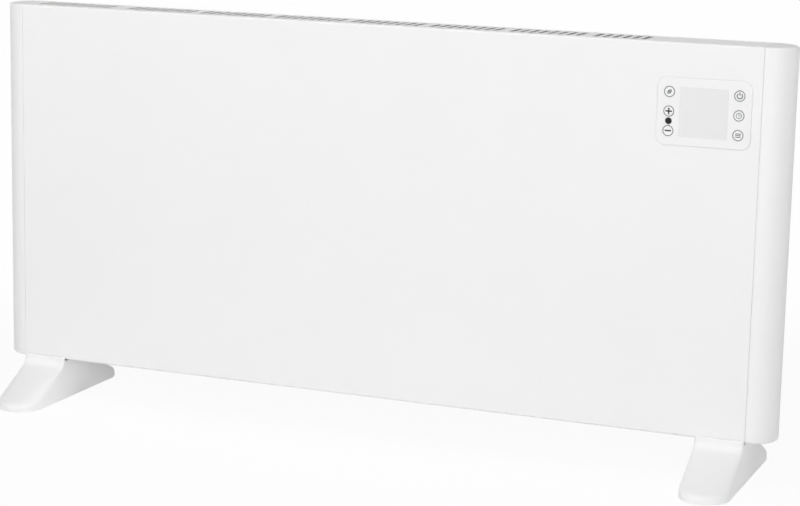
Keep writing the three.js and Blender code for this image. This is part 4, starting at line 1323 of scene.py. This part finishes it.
cordGland = {
    "bore": 0.0036,
    "flange": 0.0095,
    "neck": 0.0066,
    "lipFoot": 0.0090,
    "lipStart": 0.0075,  # of its round
    "lipRound": 0.0010,
    "mouth": 0.0008,
    "gap": 0.0003,
}


def makeCordGland(bore, flange, neck, lipFoot, lipStart, lipRound, mouth, gap):
    low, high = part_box("cord_gland")
    outside = rearHigh.y
    inside = outside - casing["sheet"] - gap
    lip = arc((lipStart, high.y - lipRound), lipRound, 0, 90, 5)
    inner = arc((bore + mouth, high.y - mouth), mouth, 90, 180, 5)
    profile = [(bore, low.y), (flange - gap, low.y), (flange, low.y + gap), (flange, inside), (neck, inside),
               (neck, outside + gap), (lipFoot, outside + gap), *lip, *inner, (bore, low.y)]
    gland = turned("cordGland", "y", placeOf("cord_gland"), profile, "nylon", 64)
    hand(dress(gland, 0, 2, 40), "casing", "black_moulding", "cord_gland")


screws = {
    "headRadius": 0.0036,
    "headHeight": 0.0021,
    "shankRadius": 0.0017,
    "length": 0.008,
    "recess": 0.0034,
    "recessLine": 0.0008,
    "recessFloor": 0.45,  # share of the head's height
    "rimHeight": 0.35,  # share of the head's height
    "underside": 0.96,  # share of the head's radius that lies flat
    "domePower": 0.6,  # below 1 the head is flatter than a ball
    "pitch": 0.0013,
    "core": 0.78,  # share of the shank's radius
    "threadStart": 0.0008,
    "threadShares": (0.35, 0.7),  # of the pitch, down to the crest and to the next core
    "tip": (0.4, 0.0004),  # share of the shank's radius, and height
    "edge": 0.0001,
    "rearX": (-0.429, 0.3095, 0.429),
    "rearZ": (0.085, 0.2575, 0.430),
    "topX": (-0.21, 0.05),
    "topZ": 0.4575,
    "rearSpin": 37,  # the heads stop at any angle, as the driver left them
    "footSpin": 53,
    "footSeat": 0.0387,
    "footShank": 0.0019,
    "footRecess": 0.0042,
}


# Pan-head screw pointing along -Z from its seat at the origin, with a cross recess.
def panHead(name, headRadius, shankRadius, length, headHeight, recess):
    angles = [math.radians(a) for a in range(0, 90, 12)]
    power = screws["domePower"]
    rim = screws["rimHeight"]
    dome = [(headRadius * math.cos(a) ** power, headHeight * (rim + (1 - rim) * math.sin(a)))
            for a in angles]
    pitch = screws["pitch"]
    core = shankRadius * screws["core"]
    crest, root = screws["threadShares"]
    thread = []
    z = -screws["threadStart"]
    while z - pitch > -length:
        thread += [(core, z), (shankRadius, z - pitch * crest), (core, z - pitch * root)]
        z -= pitch
    tipRadius, tipHeight = screws["tip"]
    profile = [(0, -length), (shankRadius * tipRadius, -length + tipHeight), *thread[::-1], (core, 0),
               (headRadius * screws["underside"], 0), *dome, (0, headHeight)]
    screw = turned(name, "z", (0, 0), profile, "screwSteel", 40)
    span = (headHeight * screws["recessFloor"], headHeight + lap)
    carve(screw, prism("cross", "z", plusOutline(recess / 2, screws["recessLine"]), span, "screwSteel"))
    return dress(screw, screws["edge"], 1, 34, 70)


# Turns a screw about itself, then from pointing down to its way in, and puts it on its seat.
def driveScrew(screw, place, spin, tip):
    turns = Matrix.Rotation(math.radians(tip), 4, "X") @ Matrix.Rotation(math.radians(spin), 4, "Z")
    screw.data.transform(Matrix.Translation(place) @ turns)
    return screw


def makeRearScrews():
    places = [(x, z) for x in screws["rearX"] for z in screws["rearZ"]]
    places += [(x, screws["topZ"]) for x in screws["topX"]]
    pieces = []
    for i, (x, z) in enumerate(places):
        screw = panHead("rearScrew", screws["headRadius"], screws["shankRadius"], screws["length"],
                        screws["headHeight"], screws["recess"])
        pieces.append(driveScrew(screw, (x, rearHigh.y, z), screws["rearSpin"] * i, -90))
    hand(dress(merged("rearPanelScrews", pieces)), "casing", "zinc_steel")


def makeFootScrews():
    seat = screws["footSeat"]
    for i, node in enumerate(footScrews):
        low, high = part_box(node)
        middle = middleOf(node)
        screw = panHead(node.replace("_foot_screw", "FootScrew"), high.x - middle.x, screws["footShank"],
                        high.z - seat, seat - low.z, screws["footRecess"])
        driveScrew(screw, (middle.x, middle.y, seat), screws["footSpin"] * i, 180)
        hand(screw, "casing", "zinc_steel", node)


makeSwitchBody()
makeRocker()
makeCordGland(**cordGland)
makeRearScrews()
makeFootScrews()
print("stage: rear fittings and screws")

# Solids that keep the shape they have in the frame and only get their finish.
solidFinishes = {
    "galvanised": ["left_end_plate", "right_end_plate", "left_element_bracket", "right_element_bracket",
                   "heat_shield", "compartment_wall"],
    "sparkAbs": ["control_housing"],
    "displayPane": ["lcd_module"],
    "nylon": ["board_carrier", "room_sensor", "thermal_cutout"],
    "aluminium": ["lower_heating_element", "upper_heating_element"],
    "steatite": ["lower_left_bush", "lower_right_bush", "upper_left_bush", "upper_right_bush",
                 "terminal_block", "thermal_fuse"],
    "laminate": ["control_board", "power_board"],
    "rubber": ["lead_grommet"],
}
for finish, members in solidFinishes.items():
    for member in members:
        solid = nodes[member].data
        solid.materials.clear()
        solid.materials.append(finishes[finish])
print("stage: inner pieces")
